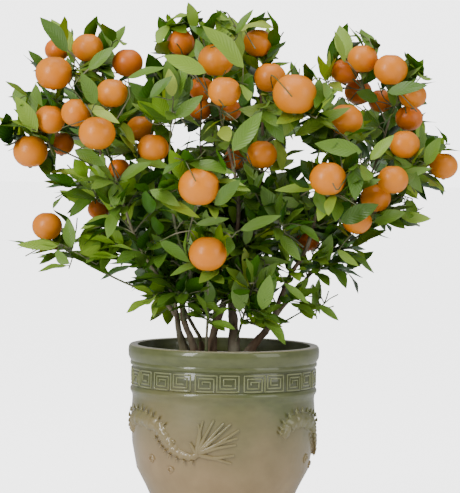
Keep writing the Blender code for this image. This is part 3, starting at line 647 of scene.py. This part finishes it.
# Foliage: each mass grows from the tip or the side of its bough. A stem leads in, twigs leave it for the
# fruit and for the leafy tips, and finer twigs fill the room that is left, all within the mass's reach.
# A row gives its limb, its middle, its reach (across, up, back) and its fruit with their widths, in mm.
MASSES = {
    "foliage_left_top": (("bough_left_high", 1), (-182, 591, 20), (72, 60, 72), (
        (-175, 603, 10, 39), (-213, 600, 70, 32), (-217, 571, -20, 46), (-125, 585, 40, 39))),
    "foliage_left_outer": (("bough_left_high", 0.72), (-236, 502, 10), (50, 62, 80), (
        (-221, 513, -20, 39), (-245, 473, 0, 44), (-206, 483, 60, 32))),
    "foliage_left_front": (("bough_left_front", 1), (-163, 523, -80), (58, 55, 60), (
        (-144, 547, -70, 39), (-188, 522, -60, 38), (-162, 497, -100, 45))),
    "foliage_left_under": (("bough_left_high", 0.5), (-160, 432, 20), (75, 48, 80), (
        (-159, 402, 40, 28), (-134, 453, 40, 28))),
    "foliage_low_left": (("bough_low_left", 1), (-194, 358, 0), (78, 45, 50), ((-223, 380, 0, 38),)),
    "foliage_inner_left": (("bough_brown", 1), (-109, 487, -20), (45, 58, 75), (
        (-108, 503, -10, 35), (-92, 479, -60, 39))),
    "foliage_centre_left": (("bough_green", 1), (-69, 540, -70), (45, 62, 60), ()),
    "foliage_top_left": (("bough_centre", 0.9), (-60, 609, 40), (45, 55, 60), ((-59, 611, 30, 35),)),
    "foliage_top": (("bough_centre", 1), (-18, 605, -40), (42, 62, 60), ((-15, 590, -60, 44),)),
    "foliage_centre_front": (("bough_centre", 0.8), (-7, 541, -110), (45, 50, 50), ((-4, 551, -120, 40),)),
    "foliage_centre_behind": (("bough_dark", 1), (-31, 540, 50), (50, 60, 60), (
        (-33, 554, 20, 32), (-34, 528, 60, 30), (3, 528, 40, 30))),
    "foliage_top_right": (("bough_upright", 1), (37, 604, 0), (45, 62, 65), (
        (37, 612, 0, 38), (53, 569, -30, 40))),
    "foliage_centre_right": (("bough_upright", 0.8), (84, 546, -92), (58, 48, 65), ((84, 549, -110, 54),)),
    "foliage_front": (("bough_green", 0.4), (-33, 440, -150), (60, 50, 50), ((-34, 432, -160, 50),)),
    "foliage_middle": (("bough_upright", 0.5), (29, 476, -20), (55, 45, 60), (
        (11, 467, 20, 30), (44, 473, -40, 38))),
    "foliage_low_front": (("stem_shoot", 1), (-22, 353, -105), (42, 45, 45), ((-22, 348, -120, 46),)),
    "foliage_low_clump": (("bough_clump", 1), (34, 314, -55), (42, 42, 45), ()),
    "foliage_right_middle": (("bough_right", 0.45), (68, 394, -30), (62, 60, 70), ((103, 367, 20, 30),)),
    "foliage_right_top": (("bough_right_up", 0.9), (155, 585, 20), (45, 62, 65), (
        (168, 594, 0, 38), (146, 578, 30, 35), (163, 553, 60, 35))),
    "foliage_right_high": (("bough_right_up", 1), (213, 556, 10), (50, 50, 75), (
        (203, 581, -30, 42), (231, 549, 0, 35), (227, 521, 40, 35), (191, 542, 70, 32))),
    "foliage_right_inner": (("bough_right", 1), (135, 511, -40), (52, 48, 65), ((148, 518, -50, 42),)),
    "foliage_right_outer": (("bough_right_up", 0.55), (239, 469, 0), (55, 58, 75), (
        (222, 488, -50, 38), (271, 462, 0, 36), (208, 444, -78, 38))),
    "foliage_right_front": (("bough_right", 0.7), (136, 440, -95), (58, 50, 60), ((127, 444, -110, 45),)),
    "foliage_right_low": (("bough_right_tip", 1), (183, 408, -20), (70, 35, 60), (
        (187, 421, -40, 38), (164, 393, -30, 38))),
    "foliage_sprig": (("bough_sprig", 1), (117, 289, 0), (35, 30, 30), ()),
    "foliage_back_left": (("bough_slim", 1), (-165, 526, 125), (75, 75, 75), ()),
    "foliage_back_low_left": (("bough_slim", 0.8), (-107, 408, 115), (70, 60, 75), ()),
    "foliage_back_top": (("bough_back", 1), (-29, 578, 145), (80, 75, 70), ()),
    "foliage_back_middle": (("bough_back", 0.85), (-2, 466, 150), (75, 65, 75), ()),
    "foliage_back_inner": (("bough_back", 0.6), (60, 529, 120), (50, 60, 65), ()),
    "foliage_back_right": (("bough_right_up", 0.4), (200, 500, 138), (65, 70, 70), ()),
    "foliage_back_low_right": (("bough_right", 0.3), (80, 398, 110), (70, 60, 70), ()),
}
TURN = math.radians(137.5)
SPACE_REACH = 1.12
SPACE_MARGIN = 0.035
STEM_ASIDES = (
    (0, 0, -0.25), (0, 0, 0.1), (0.3, 0, -0.1), (-0.3, 0, -0.1), (0, 0.3, -0.1), (0, -0.3, -0.1),
    (0.3, 0.3, 0), (-0.3, -0.3, 0), (0.3, -0.3, 0), (-0.3, 0.3, 0),
)
STEM_SHIFTS = (0, 0.06, -0.06, 0.12, -0.12)
STEM_PULLS = (0.3, 0.5, 0.1)
STEM_ROOM = 0.8 * MM
STEM_FREE = 14 * MM
TWIG_STEP = 24 * MM
TWIG_FOOT = 1.6 * MM
TWIG_TIP = 0.9 * MM
TWIG_PIECES = 2
TWIG_TRIES = 8
TWIG_PULLS = (0.35, 0.1, 0.6)
TWIG_ROOM = 1.8 * MM
TWIG_SIDES = 7
TIP_SHELL = 0.62
TIPS = 5
LEAST_TIPS = 2
FINER_TIPS = 9
FINER_SHELL = 0.8
FRUIT_FLAT = 0.92
FRUIT_ROOM = 12 * MM
TEST_STEP = 5 * MM


class Mass:
    """A mass of foliage: its own space in the crown, the fruit in it and the stem that leads to it."""

    def __init__(self, name, origin, middle, reach, fruit):
        self.name = name
        self.origin = origin
        self.middle = place(*middle)
        across, up, back = reach
        self.reach = np.array((across, back, up)) * MM
        self.fruit = [(place(*spot), width * MM / 2) for *spot, width in fruit]
        self.nodes = []
        self.twigs = []


def shares_of_reach(points, mass):
    """How far out in the mass's space each point is: 1 at its reach or at the room round a fruit of its."""
    shares = [np.linalg.norm((points - np.array(mass.middle)) / mass.reach, axis=1)]
    for middle, radius in mass.fruit:
        shares.append(np.linalg.norm(points - np.array(middle), axis=1) / (radius + FRUIT_ROOM))
    return np.min(shares, axis=0)


def in_own_space(points, mass, masses):
    """Whether every point is within the mass's reach and clearly nearer to it than to any other."""
    if not points:
        return True
    points = np.array(points)
    own = shares_of_reach(points, mass)
    if own.max() > SPACE_REACH:
        return False
    return all(
        (shares_of_reach(points, other) > own + SPACE_MARGIN).all() for other in masses if other is not mass
    )


def clear_of_fruit(points, mass, but=None):
    points = np.array(points)
    return all(
        (np.linalg.norm(points - np.array(middle), axis=1) > radius + 0.5 * MM).all()
        for middle, radius in mass.fruit if middle is not but
    )


def points_between(route, step):
    """Points no further apart than the step, along straight runs."""
    points = []
    for a, b in zip(route, route[1:]):
        count = math.ceil((b - a).length / step)
        points += [a.lerp(b, i / count) for i in range(count)]
    return [*points, route[-1]]


def bend(start, aim, end, pull, pieces):
    """A curve that leaves its start along aim and ends at end."""
    control = start + pull * (end - start).length * aim
    shares = [i / pieces for i in range(pieces + 1)]
    return [(1 - t) ** 2 * start + 2 * t * (1 - t) * control + t ** 2 * end for t in shares]


def stem_ways(mass, limb):
    """Curves that the mass's stem may take, the plainest first: start, direction there and the curve."""
    share = mass.origin[1]
    shifts = (0,) if share == 1 else STEM_SHIFTS
    for aside in STEM_ASIDES:
        end = mass.middle + Vector(aside[i] * mass.reach[i] for i in range(3))
        for shift in shifts:
            start, aim, radius = limb.at(min(0.98, share + shift) if share < 1 else 1)
            begun = start + GAP * aim if share == 1 else start
            for pull in STEM_PULLS:
                yield radius, begun, aim, bend(begun, aim, end, pull, 60)


def grow_stem(mass, limbs, others):
    """The mass's stem: it goes on from its bough's tip, or leaves its side, and ends near its middle."""
    parent = limbs[mass.origin[0]]
    around = [*(limb for limb in limbs.values() if limb is not parent), *others]
    for radius, start, aim, fine in stem_ways(mass, parent):
        foot = min(TWIG_FOOT, 0.85 * radius)
        room = foot + STEM_ROOM
        away = [point for point in fine if (point - start).length > STEM_FREE]
        if not clear_of_limbs(fine, around, room) or not clear_of_limbs(away, [parent], room):
            continue
        if mass.origin[1] == 1:
            route = [start, start + 2 * MM * aim, *thinned(fine, TWIG_STEP)[1:]]
        else:
            route = thinned(clear_start(fine, foot, 3, [parent]), TWIG_STEP)
        return Limb(route, taper(route, foot, TWIG_TIP + 0.3 * MM))
    raise ValueError(f"no way for the stem of {mass.name}")


def add_nodes(mass, limb, first=0):
    aims = directions(limb.route)
    for point, aim, radius in list(zip(limb.route, aims, limb.radii))[first:]:
        mass.nodes.append((point, aim, radius))


def nodes_for(mass, masses, spot):
    """Places on the mass's twigs that a new one to this spot may leave, the nearest and straightest first."""
    def cost(node):
        point, aim, _ = node
        run = spot - point
        return run.length * (1.6 - 0.8 * aim.dot(run.normalized()))
    inside = [node for node in mass.nodes if in_own_space([node[0]], mass, masses)]
    return sorted(inside or mass.nodes[-1:], key=cost)


def grow_twig(mass, spot, masses, obstacles, but=None):
    """A twig to the spot, or None where it would leave the mass's space or touch a limb or a fruit."""
    for point, aim, radius in nodes_for(mass, masses, spot)[:TWIG_TRIES]:
        for pull in TWIG_PULLS:
            route = bend(point, aim, spot, pull, TWIG_PIECES)
            tested = points_between(route, TEST_STEP)
            away = [point for point in tested if (point - route[0]).length > 4 * MM]
            if not in_own_space(away, mass, masses) or not clear_of_limbs(away, obstacles, TWIG_ROOM):
                continue
            if not clear_of_fruit(tested, mass, but):
                continue
            twig = Limb(route, taper(route, min(0.9 * radius, TWIG_FOOT), TWIG_TIP))
            add_nodes(mass, twig, 1)
            mass.twigs.append(twig)
            return twig
    return None


def shell_spots(mass, count, shell, start):
    """Spots spread evenly over a shell inside the mass's reach."""
    for i in range(count):
        height = 1 - 2 * (i + 0.5) / count
        round_by = math.sqrt(1 - height * height)
        turn = start + i * TURN
        yield mass.middle + shell * Vector((
            round_by * math.cos(turn) * mass.reach[0],
            round_by * math.sin(turn) * mass.reach[1],
            height * mass.reach[2],
        ))


masses = [Mass(name, *facts) for name, facts in MASSES.items()]
mass_names = [mass.name for mass in masses]
stems = []
for mass in sorted(masses, key=lambda mass: -mass.origin[1]):
    mass.stem = grow_stem(mass, limbs, stems)
    stems.append(mass.stem)
    add_nodes(mass, mass.stem, 2)
    mass.twigs.append(mass.stem)
borne = []
for mass in masses:
    around = [*limbs.values(), *(stem for stem in stems if stem is not mass.stem)]
    for middle, radius in mass.fruit:
        foot = middle - Vector((0, 0, 0.8 * FRUIT_FLAT * radius))
        if grow_twig(mass, foot, masses, around, middle) is not None:
            borne.append((middle, radius))
    for spot in shell_spots(mass, max(LEAST_TIPS, TIPS - len(mass.fruit)), TIP_SHELL, 0):
        grow_twig(mass, spot, masses, around)
    for spot in shell_spots(mass, FINER_TIPS, FINER_SHELL, 1.3):
        grow_twig(mass, spot, masses, around)
bm = bmesh.new()
for mass in masses:
    for twig in mass.twigs:
        fine = smooth_route(twig.route, 7 * MM)
        draw_out(bm, fine, radii_along(twig, len(fine), 0.85), TWIG_SIDES, furrowed)
close_ends(bm)
finish_piece("green_twigs", bm, young_bark, mass_names, 75)


# Fruit: small flat-topped mandarins that stand up on their stalks, with a dimple at the crown and a
# green calyx below. The peel is thin, orange and satin, dotted with fine oil glands.
FRUIT_ROUND = (28, 20)  # faces round and from top to bottom
DIMPLE = 0.07
DIMPLE_REACH = 0.2
UNEVEN = 0.012  # how far the peel swells and sinks, as a share of the radius
UNEVEN_SCALE = 45
UNEVEN_SEED = 5
SHADED_BEHIND = 0.015  # fruit further back than this get the darker, redder peel: painted shade inside the crown
GLANDS = 620


def glandular_peel():
    """Peel that drifts between two oranges, pitted by its oil glands."""
    tree, given, out = node_group(
        "glandular_peel", (("Low", "Color"), ("High", "Color")), (("Colour", "Color"), ("Height", "Float")),
    )
    tree.links.new(mix_colours(tree, noise_at(tree, 30, 3), given["Low"], given["High"]), out["Colour"])
    glands = tree.nodes.new("ShaderNodeTexVoronoi")
    glands.feature = "SMOOTH_F1"
    glands.inputs["Scale"].default_value = GLANDS
    tree.links.new(tree.nodes.new("ShaderNodeTexCoord").outputs["Object"], glands.inputs["Vector"])
    tree.links.new(glands.outputs["Distance"], out["Height"])
    return tree


PEEL = glandular_peel()


def peel_of(name, low, high):
    material, tree, shader = surface(name, low, 0.4, 0.15, 0.2)
    peel = placed(tree, PEEL, Low=low, High=high)
    tree.links.new(peel["Colour"], shader.inputs["Base Color"])
    bumped(tree, shader, peel["Height"], 0.35, 0.0006)
    return material


bright_peel = peel_of("bright_orange_peel", (0.86, 0.225, 0.0), (0.92, 0.29, 0.0))
# A darker, redder copy of the same peel, painted shade for the fruit further back in the crown.
painted_shade_peel = peel_of("painted_shade_orange_peel", (0.8, 0.16, 0.0), (0.88, 0.22, 0.0))
noise.seed_set(UNEVEN_SEED)  # without it noise_vector takes its seed from the clock
# The fruit further back than SHADED_BEHIND take the painted-shade peel, the rest the bright one.
for name, peel, shaded in (("fruit_bright", bright_peel, False), ("fruit_painted_shade", painted_shade_peel, True)):
    bm = bmesh.new()
    for middle, radius in borne:
        if (middle.y > SHADED_BEHIND) != shaded:
            continue
        made = bmesh.ops.create_uvsphere(
            bm, u_segments=FRUIT_ROUND[0], v_segments=FRUIT_ROUND[1], radius=radius
        )["verts"]
        for vert in made:
            out = math.hypot(vert.co.x, vert.co.y) / radius
            vert.co.z *= FRUIT_FLAT - DIMPLE * math.exp(-(out / DIMPLE_REACH) ** 2)
            vert.co += middle + UNEVEN * radius * noise.noise_vector((vert.co + middle) * UNEVEN_SCALE)
    bmesh.ops.recalc_face_normals(bm, faces=bm.faces)
    finish_piece(name, bm, peel, mass_names, 80)
bm = bmesh.new()
for middle, radius in borne:
    bmesh.ops.create_cone(
        bm, cap_ends=True, segments=10, radius1=1.5 * MM, radius2=4.2 * MM, depth=2.4 * MM,
        matrix=Matrix.Translation(middle - Vector((0, 0, 0.9 * radius))),
    )
finish_piece("calyxes", bm, young_bark, mass_names, 60)


# Leaves: leathery ovals with a sharp tip, creased along the midrib and a little cupped and waved. The
# largest hang at their own places, each row giving base, tip and width in pixels of the photograph. The
# rest turn round each twig, shade by spray, and short side shoots on the boughs carry more.
LARGE_LEAVES = (
    (68, 52, 42, 17, 20, "dark"), (89, 70, 113.5, 47, 12, "mid"), (196, 29, 189, 3, 13, "light"),
    (230, 30, 217, 10, 11, "mid"), (244, 68, 205, 25, 24, "light"), (235, 35, 253, 10, 10, "mid"),
    (206, 73, 164, 56, 16, "light"), (171, 124, 131, 81, 26, "dark"), (171, 118, 190.5, 77, 17, "dark"),
    (175, 118, 202, 96, 7, "mid"), (37, 132, 16, 97, 17, "light"), (28, 96, 7, 80.5, 8, "mid"),
    (96, 104, 82, 74, 16, "mid"), (128, 78, 165, 66, 12, "mid"), (150, 98, 172, 76, 12, "dark"),
    (294, 137, 348, 105, 20, "light"), (362, 152, 315, 143, 18, "mid"), (291, 122, 240, 108, 24, "light"),
    (232, 151, 262, 112, 18, "mid"), (263, 108, 284, 143, 16, "dark"), (387, 92, 425, 84, 14, "dark"),
    (380, 125, 356, 112, 18, "dark"), (378, 100, 356, 92, 14, "dark"), (425, 165, 440, 137, 14, "mid"),
    (394, 156, 423, 192, 17, "mid"), (400, 175, 431, 168, 5, "mid"), (340, 222, 378, 204, 18, "dark"),
    (374, 222, 405, 212, 14, "mid"), (400, 216, 430, 219, 6, "light"), (345, 63, 334.5, 32, 8, "light"),
    (319, 83, 303.5, 65, 7, "mid"), (370, 160, 393, 135, 12, "light"), (319, 186, 275, 190, 10, "light"),
    (100, 240, 134, 252, 20, "dark"), (126, 237, 108, 255, 10, "mid"), (58, 246, 17, 244, 11, "light"),
    (55, 252, 68, 264, 7, "mid"), (108, 239, 86, 262, 14, "mid"), (188, 240, 217, 232, 9, "light"),
    (196, 224, 228, 218, 8, "mid"), (209, 305, 209.6, 282, 12, "dark"), (240, 312, 240, 272, 18, "mid"),
    (262, 310, 270, 276, 16, "mid"), (182, 297, 152, 306, 12, "dark"), (187, 302, 203, 314, 9, "dark"),
    (284, 283, 309, 303, 8, "mid"), (313, 283, 318.5, 315, 4, "mid"), (319, 305, 339, 320, 9, "mid"),
    (337, 250, 358, 266, 5, "light"), (75, 150, 105, 165, 14, "dark"), (60, 190, 85, 205, 10, "light"),
    (110, 215, 80, 228, 10, "light"), (135, 160, 170, 165, 14, "mid"), (150, 190, 180, 205, 14, "mid"),
    (120, 180, 150, 160, 14, "mid"), (215, 180, 250, 190, 12, "light"), (160, 200, 200, 215, 12, "light"),
    (130, 205, 160, 190, 12, "mid"), (240, 230, 280, 215, 12, "mid"), (270, 200, 310, 205, 12, "mid"),
    (215, 205, 240, 180, 14, "dark"), (280, 235, 300, 260, 12, "mid"), (250, 260, 290, 262, 10, "mid"),
    (200, 262, 170, 275, 10, "mid"), (160, 240, 190, 262, 12, "dark"), (300, 225, 320, 240, 10, "dark"),
)
PIXEL = 1.25  # mm at the pot's axis
LIP_SPOT = (224, 344.5)  # the middle of the lip in the photograph, across and down
LIP_TOP = 235
ROLL = math.radians(0.8)
LEAF_ROWS = 8
LEAF_COLUMNS = 4
NARROW = 10  # mm: leaves seen narrower than this are turned nearly edge on
TURNED_WIDER = 1.8
ROOT_AHEAD = 4
TIP_AHEAD = (10, 26)
BEHIND_COUNTS = 0.22
FRUIT_SHOWN = 0.92
LEAF_STALK = 3 * MM
LEAF_SLIMNESS = (0.38, 0.48)
LEAF_LIFT = 0.2
LEAF_DROOP = (0.03, 0.16)
LEAF_SHARES = (0.15, 0.4, 0.65, 1.0)
MASS_REACH = 1.06
CROWN_TOP = 0.655
CROWN_FOOT = 0.245
SHOOTS_ABOVE = 0.262
SHOOTS_BELOW = 0.5
MANY_BELOW = 0.44
STEM_SHOOTS = (0.8,)
BOUGH_SHOOTS = (0.16, 0.3, 0.44, 0.58, 0.72, 0.86)
STEM_LEAVES = (0.75, 0.95)
TWIG_LEAVES = (1.0, 0.86, 0.7, 0.52, 0.34)
SHOOT_LEAVES = (0.999, 0.9, 0.72, 0.5, 0.3)
TWIG_SPRAYS = ("dark", "mid", "mid", "light", "dark", "mid", "light", "mid", "fresh", "mid")
SHOOT_SPRAYS = ("dark", "mid", "dark", "mid", "light")


def shape_leaf(kind, root, aim, lie, length, width, droop, wave):
    """One leaf among its kind: a grid pulled out to a pointed oval, folded at its midrib and arched."""
    bm, uv = leaf_meshes[kind]
    side = aim.cross(lie).normalized()
    verts = bmesh.ops.create_grid(bm, x_segments=LEAF_ROWS, y_segments=LEAF_COLUMNS, size=0.5)["verts"]
    spots = {}
    for vert in verts:
        share, half = vert.co.x + 0.5, vert.co.y * 2
        spots[vert] = (share, 0.5 + 0.5 * half)
        breadth = 0.5 * width * max(0.03, math.sin(math.pi * share ** 0.86) ** 0.82)
        raise_by = 0.24 * abs(half) * breadth * (1 - 0.4 * share) - droop * length * share ** 2
        raise_by += wave * breadth * math.sin(9 * share + 3 * half) * abs(half)
        vert.co = root + share * length * aim + half * breadth * side + raise_by * lie
    for face in {face for vert in verts for face in vert.link_faces}:
        for loop in face.loops:
            loop[uv].uv = spots[loop.vert]


def leaf_veins():
    """Fine veins that slant forward from the midrib, as a height over the leaf's own map."""
    tree, _, out = node_group("leaf_veins", (), (("Height", "Float"),))
    place_on = tree.nodes.new("ShaderNodeUVMap")
    place_on.uv_map = "leaf"
    split = tree.nodes.new("ShaderNodeSeparateXYZ")
    tree.links.new(place_on.outputs["UV"], split.inputs["Vector"])
    off_rib = reckoned(tree, "ABSOLUTE", reckoned(tree, "SUBTRACT", split.outputs["Y"], 0.5))
    slanted = reckoned(tree, "MULTIPLY_ADD", off_rib, -0.55, split.outputs["X"])
    tree.links.new(reckoned(tree, "SINE", reckoned(tree, "MULTIPLY", slanted, 60.0)), out["Height"])
    return tree


VEINS = leaf_veins()


def leaf_skin(name, top, under, roughness):
    """A leaf's surface: glossy, and paler underneath."""
    material, tree, shader = surface(name, top, roughness, 0.12, 0.25)
    shader.inputs["Specular IOR Level"].default_value = 0.42
    facing = tree.nodes.new("ShaderNodeNewGeometry")
    tree.links.new(mix_colours(tree, facing.outputs["Backfacing"], top, under), shader.inputs["Base Color"])
    bumped(tree, shader, placed(tree, VEINS)["Height"], 0.3, 0.0005)
    return material


SKINS = {
    "dark": leaf_skin("leaf_dark", (0.018, 0.078, 0.002), (0.095, 0.2, 0.02), 0.32),
    "mid": leaf_skin("leaf_mid", (0.055, 0.18, 0.003), (0.15, 0.28, 0.03), 0.4),
    "light": leaf_skin("leaf_light", (0.20, 0.38, 0.005), (0.26, 0.42, 0.04), 0.42),
    "fresh": leaf_skin("leaf_fresh", (0.36, 0.50, 0.01), (0.38, 0.50, 0.06), 0.45),
}
leaf_meshes = {}
for kind in SKINS:
    bm = bmesh.new()
    leaf_meshes[kind] = (bm, bm.loops.layers.uv.new("leaf"))
stalks = bmesh.new()
rng = random.Random(11)


def from_photo(x, y):
    """(across, up) in whole mm of a spot in the photograph, given in pixels."""
    right = x - LIP_SPOT[0]
    above = LIP_SPOT[1] - y
    return (
        round(PIXEL * (right * math.cos(ROLL) - above * math.sin(ROLL))),
        round(LIP_TOP + PIXEL * (right * math.sin(ROLL) + above * math.cos(ROLL))),
    )


def seen_at(point):
    """Where a point is seen from the front, (across, up): what place undoes."""
    along = 1 + point.y / EYE_DISTANCE
    return point.x / along, EYE_HEIGHT + (point.z - EYE_HEIGHT) / along


nodes = []
for mass in masses:
    for twig in mass.twigs:
        nodes += smooth_route(twig.route, 9 * MM)
for base_x, base_y, tip_x, tip_y, pixels_wide, kind in LARGE_LEAVES:
    across, up = from_photo(base_x, base_y)
    width = round(PIXEL * pixels_wide)

    def farness(point):
        x, z = seen_at(point)
        return math.hypot(x - across * MM, z - up * MM) + BEHIND_COUNTS * point.y

    node = min(nodes, key=farness)
    behind = node.y / MM
    root = place(across, up, behind - ROOT_AHEAD)
    tip = place(*from_photo(tip_x, tip_y), behind - rng.uniform(*TIP_AHEAD))
    aim = (tip - root).normalized()
    facing = Vector((rng.uniform(-0.35, 0.35), -0.8, rng.uniform(0.2, 0.9))).normalized()
    lie = (facing - facing.dot(aim) * aim).normalized()
    if width < NARROW:
        lie = (lie + 0.9 * (tip - root).cross(lie).normalized()).normalized()
        width = width * TURNED_WIDER
    shape_leaf(kind, root, aim, lie, (tip - root).length, width * MM, rng.uniform(0.02, 0.1), 0.12)
    stalk = smooth_route([node, node.lerp(root, 0.5) + 2 * MM * UP, root + 1.5 * MM * aim], 6 * MM)
    draw_out(stalks, stalk, [0.75 * MM] * len(stalk), 6)

fruit_seen = [(*seen_at(middle), middle.y, radius) for mass in masses for middle, radius in mass.fruit]


def hides_fruit(points):
    """Whether a leaf or shoot through these points would stand before a fruit."""
    for point in points:
        x, z = seen_at(point)
        for fruit_x, fruit_z, fruit_y, radius in fruit_seen:
            if point.y < fruit_y and math.hypot(x - fruit_x, z - fruit_z) < FRUIT_SHOWN * radius:
                return True
    return False


def grow_shoot(limb, share):
    """A short leafy shoot from a limb's side, or None where it would hang low or hide a fruit."""
    start, aim, _ = limb.at(share)
    turn = rng.uniform(0, math.tau)
    around = aim.orthogonal().normalized()
    outward = math.cos(turn) * around + math.sin(turn) * aim.cross(around)
    run = (outward + 0.45 * aim + 0.15 * UP).normalized()
    end = start + rng.uniform(20, 44) * MM * run
    way = [start, start.lerp(end, 0.5) + 2 * MM * aim, end]
    if end.z < SHOOTS_ABOVE or hides_fruit(points_between(way, 6 * MM)):
        return None
    return Limb(way, [1.1 * MM, 0.9 * MM, 0.7 * MM])


def in_low_crown(spot):
    """Whether the spot is in the cone of the lower crown that side shoots fill."""
    return SHOOTS_ABOVE < spot.z < SHOOTS_BELOW and abs(spot.x) <= 0.05 + 0.9 * (spot.z - 0.26)


shoots = []
for name, limb in limbs.items():
    for share in STEM_SHOOTS if name.startswith("stem_") and name != "stem_shoot" else BOUGH_SHOOTS:
        start = limb.at(share)[0]
        if in_low_crown(start):
            shoots += [grow_shoot(limb, share) for _ in range(3 if start.z < MANY_BELOW else 1)]
shoots = [shoot for shoot in shoots if shoot]
for shoot in shoots:
    fine = smooth_route(shoot.route, 6 * MM)
    draw_out(stalks, fine, [1.1 * MM - 0.4 * MM * i / len(fine) for i in range(len(fine))], TWIG_SIDES)


def hang_leaves(twig, shares, spray, turn, tries, lengths, spreads, fits):
    """Leaves at these shares of a twig, each turned about it until it fits; gives the last turn."""
    for share in shares:
        point, aim, _ = twig.at(min(share, 0.999))
        around = aim.orthogonal().normalized()
        other = aim.cross(around)
        for _ in range(tries):
            turn += TURN
            length = rng.uniform(*lengths) * MM
            width = length * rng.uniform(*LEAF_SLIMNESS)
            outward = math.cos(turn) * around + math.sin(turn) * other
            spread = math.radians(rng.uniform(*spreads))
            leaf_aim = (math.cos(spread) * aim + math.sin(spread) * outward + LEAF_LIFT * UP).normalized()
            lie = leaf_aim.cross((UP + 0.5 * aim - 0.3 * outward).cross(leaf_aim)).normalized()
            root = point + LEAF_STALK * leaf_aim
            tested = [root + part * length * leaf_aim for part in LEAF_SHARES]
            if fits(tested, 0.35 * width * leaf_aim.cross(lie)):
                shape_leaf(spray, root, leaf_aim, lie, length, width, rng.uniform(*LEAF_DROOP), 0.14)
                draw_out(stalks, [point, root + MM * leaf_aim], [0.7 * MM, 0.6 * MM], 5)
                break
    return turn


all_limbs = list(limbs.values())
for number, mass in enumerate(masses):
    def fits_mass(tested, side):
        if shares_of_reach(np.array(tested), mass).max() > MASS_REACH or tested[-1].z > CROWN_TOP:
            return False
        if hides_fruit([*tested, tested[2] + side, tested[2] - side]):
            return False
        return clear_of_fruit(tested, mass) and clear_of_limbs(tested, all_limbs, MM)

    turn = rng.uniform(0, math.tau)
    for twig_number, twig in enumerate(mass.twigs):
        shares = STEM_LEAVES if twig_number == 0 and len(mass.twigs) > 1 else TWIG_LEAVES
        spray = TWIG_SPRAYS[(3 * number + 7 * twig_number) % len(TWIG_SPRAYS)]
        turn = hang_leaves(twig, shares, spray, turn, 7, (34, 60), (30, 66), fits_mass)


def fits_shoot(tested, side):
    if min(spot.z for spot in tested) < CROWN_FOOT or hides_fruit(tested):
        return False
    return clear_of_limbs(tested, all_limbs, MM)


for number, shoot in enumerate(shoots):
    turn = rng.uniform(0, math.tau)
    spray = SHOOT_SPRAYS[number % len(SHOOT_SPRAYS)]
    hang_leaves(shoot, SHOOT_LEAVES, spray, turn, 5, (26, 50), (25, 62), fits_shoot)
for kind, (bm, _) in leaf_meshes.items():
    finish_piece(f"leaves_{kind}", bm, SKINS[kind], mass_names, 85)
close_ends(stalks)
finish_piece("leaf_stalks", stalks, young_bark, mass_names, 75)


# The studio: a white floor that runs on into a white surround, one tall soft light on the left, a broad
# one on the right and one overhead.
FLOOR_REACH = 14
FLOOR_GLOW = 3.2
SURROUND = 0.42
SURROUND_SEEN = 3.5
LIT_SPOT = Vector((0, 0, 0.3))
floor_white, tree, shader = surface("studio_white", (0.93, 0.93, 0.93), 0.9)
shader.inputs["Emission Color"].default_value = (1, 1, 1, 1)
rays = tree.nodes.new("ShaderNodeLightPath").outputs["Is Camera Ray"]
tree.links.new(reckoned(tree, "MULTIPLY", rays, FLOOR_GLOW), shader.inputs["Emission Strength"])
bm = bmesh.new()
bmesh.ops.create_circle(bm, cap_ends=True, segments=96, radius=FLOOR_REACH)
mesh = bpy.data.meshes.new("studio_floor")
bm.to_mesh(mesh)
bm.free()
mesh.materials.append(floor_white)
floor = bpy.data.objects.new("studio_floor", mesh)
bpy.context.scene.collection.objects.link(floor)

world = bpy.data.worlds.new("studio_surround")
bpy.context.scene.world = world
world.use_nodes = True
tree = world.node_tree
tree.nodes["Background"].inputs["Color"].default_value = (1, 1, 1, 1)
rays = tree.nodes.new("ShaderNodeLightPath").outputs["Is Camera Ray"]
bright = reckoned(tree, "MULTIPLY_ADD", rays, SURROUND_SEEN, SURROUND)
tree.links.new(bright, tree.nodes["Background"].inputs["Strength"])


def soft_light(name, at, width, height, power):
    """A soft light turned to the lit spot, with its size in metres and its power in watts."""
    data = bpy.data.lights.new(name, "AREA")
    data.shape = "RECTANGLE"
    data.size = width
    data.size_y = height
    data.energy = power
    lamp = bpy.data.objects.new(name, data)
    lamp.location = at
    lamp.rotation_euler = (LIT_SPOT - lamp.location).to_track_quat("-Z", "Y").to_euler()
    bpy.context.scene.collection.objects.link(lamp)


soft_light("left_window", (-1.5, -1.6, 1.3), 0.55, 1.6, 36)
soft_light("right_sheet", (2.0, -1.4, 1.1), 1.4, 1.6, 16)
soft_light("overhead", (0, -0.3, 2.2), 1.6, 1.6, 20)

# The camera: level with the upper crown, four metres back, aimed a few millimetres right of the pot's axis
# and turned anticlockwise by less than a degree. The picture is 493 rows high.
PICTURE_ROWS = 493
AIM_AT = Vector((0.0058, 0, 0.3576))
SENSOR = 36
eye = Vector((0, -EYE_DISTANCE, EYE_HEIGHT))
aim = (AIM_AT - eye).normalized()
level = aim.cross(UP).normalized()
right = math.cos(ROLL) * level + math.sin(ROLL) * level.cross(aim)
lens = bpy.data.cameras.new("camera")
lens.sensor_width = SENSOR
lens.lens = SENSOR * EYE_DISTANCE * 1.0013 / (PICTURE_ROWS * PIXEL * MM)
camera = bpy.data.objects.new("camera", lens)
camera.matrix_world = Matrix.Translation(eye) @ Matrix((right, right.cross(aim), -aim)).transposed().to_4x4()
bpy.context.scene.collection.objects.link(camera)
bpy.context.scene.camera = camera
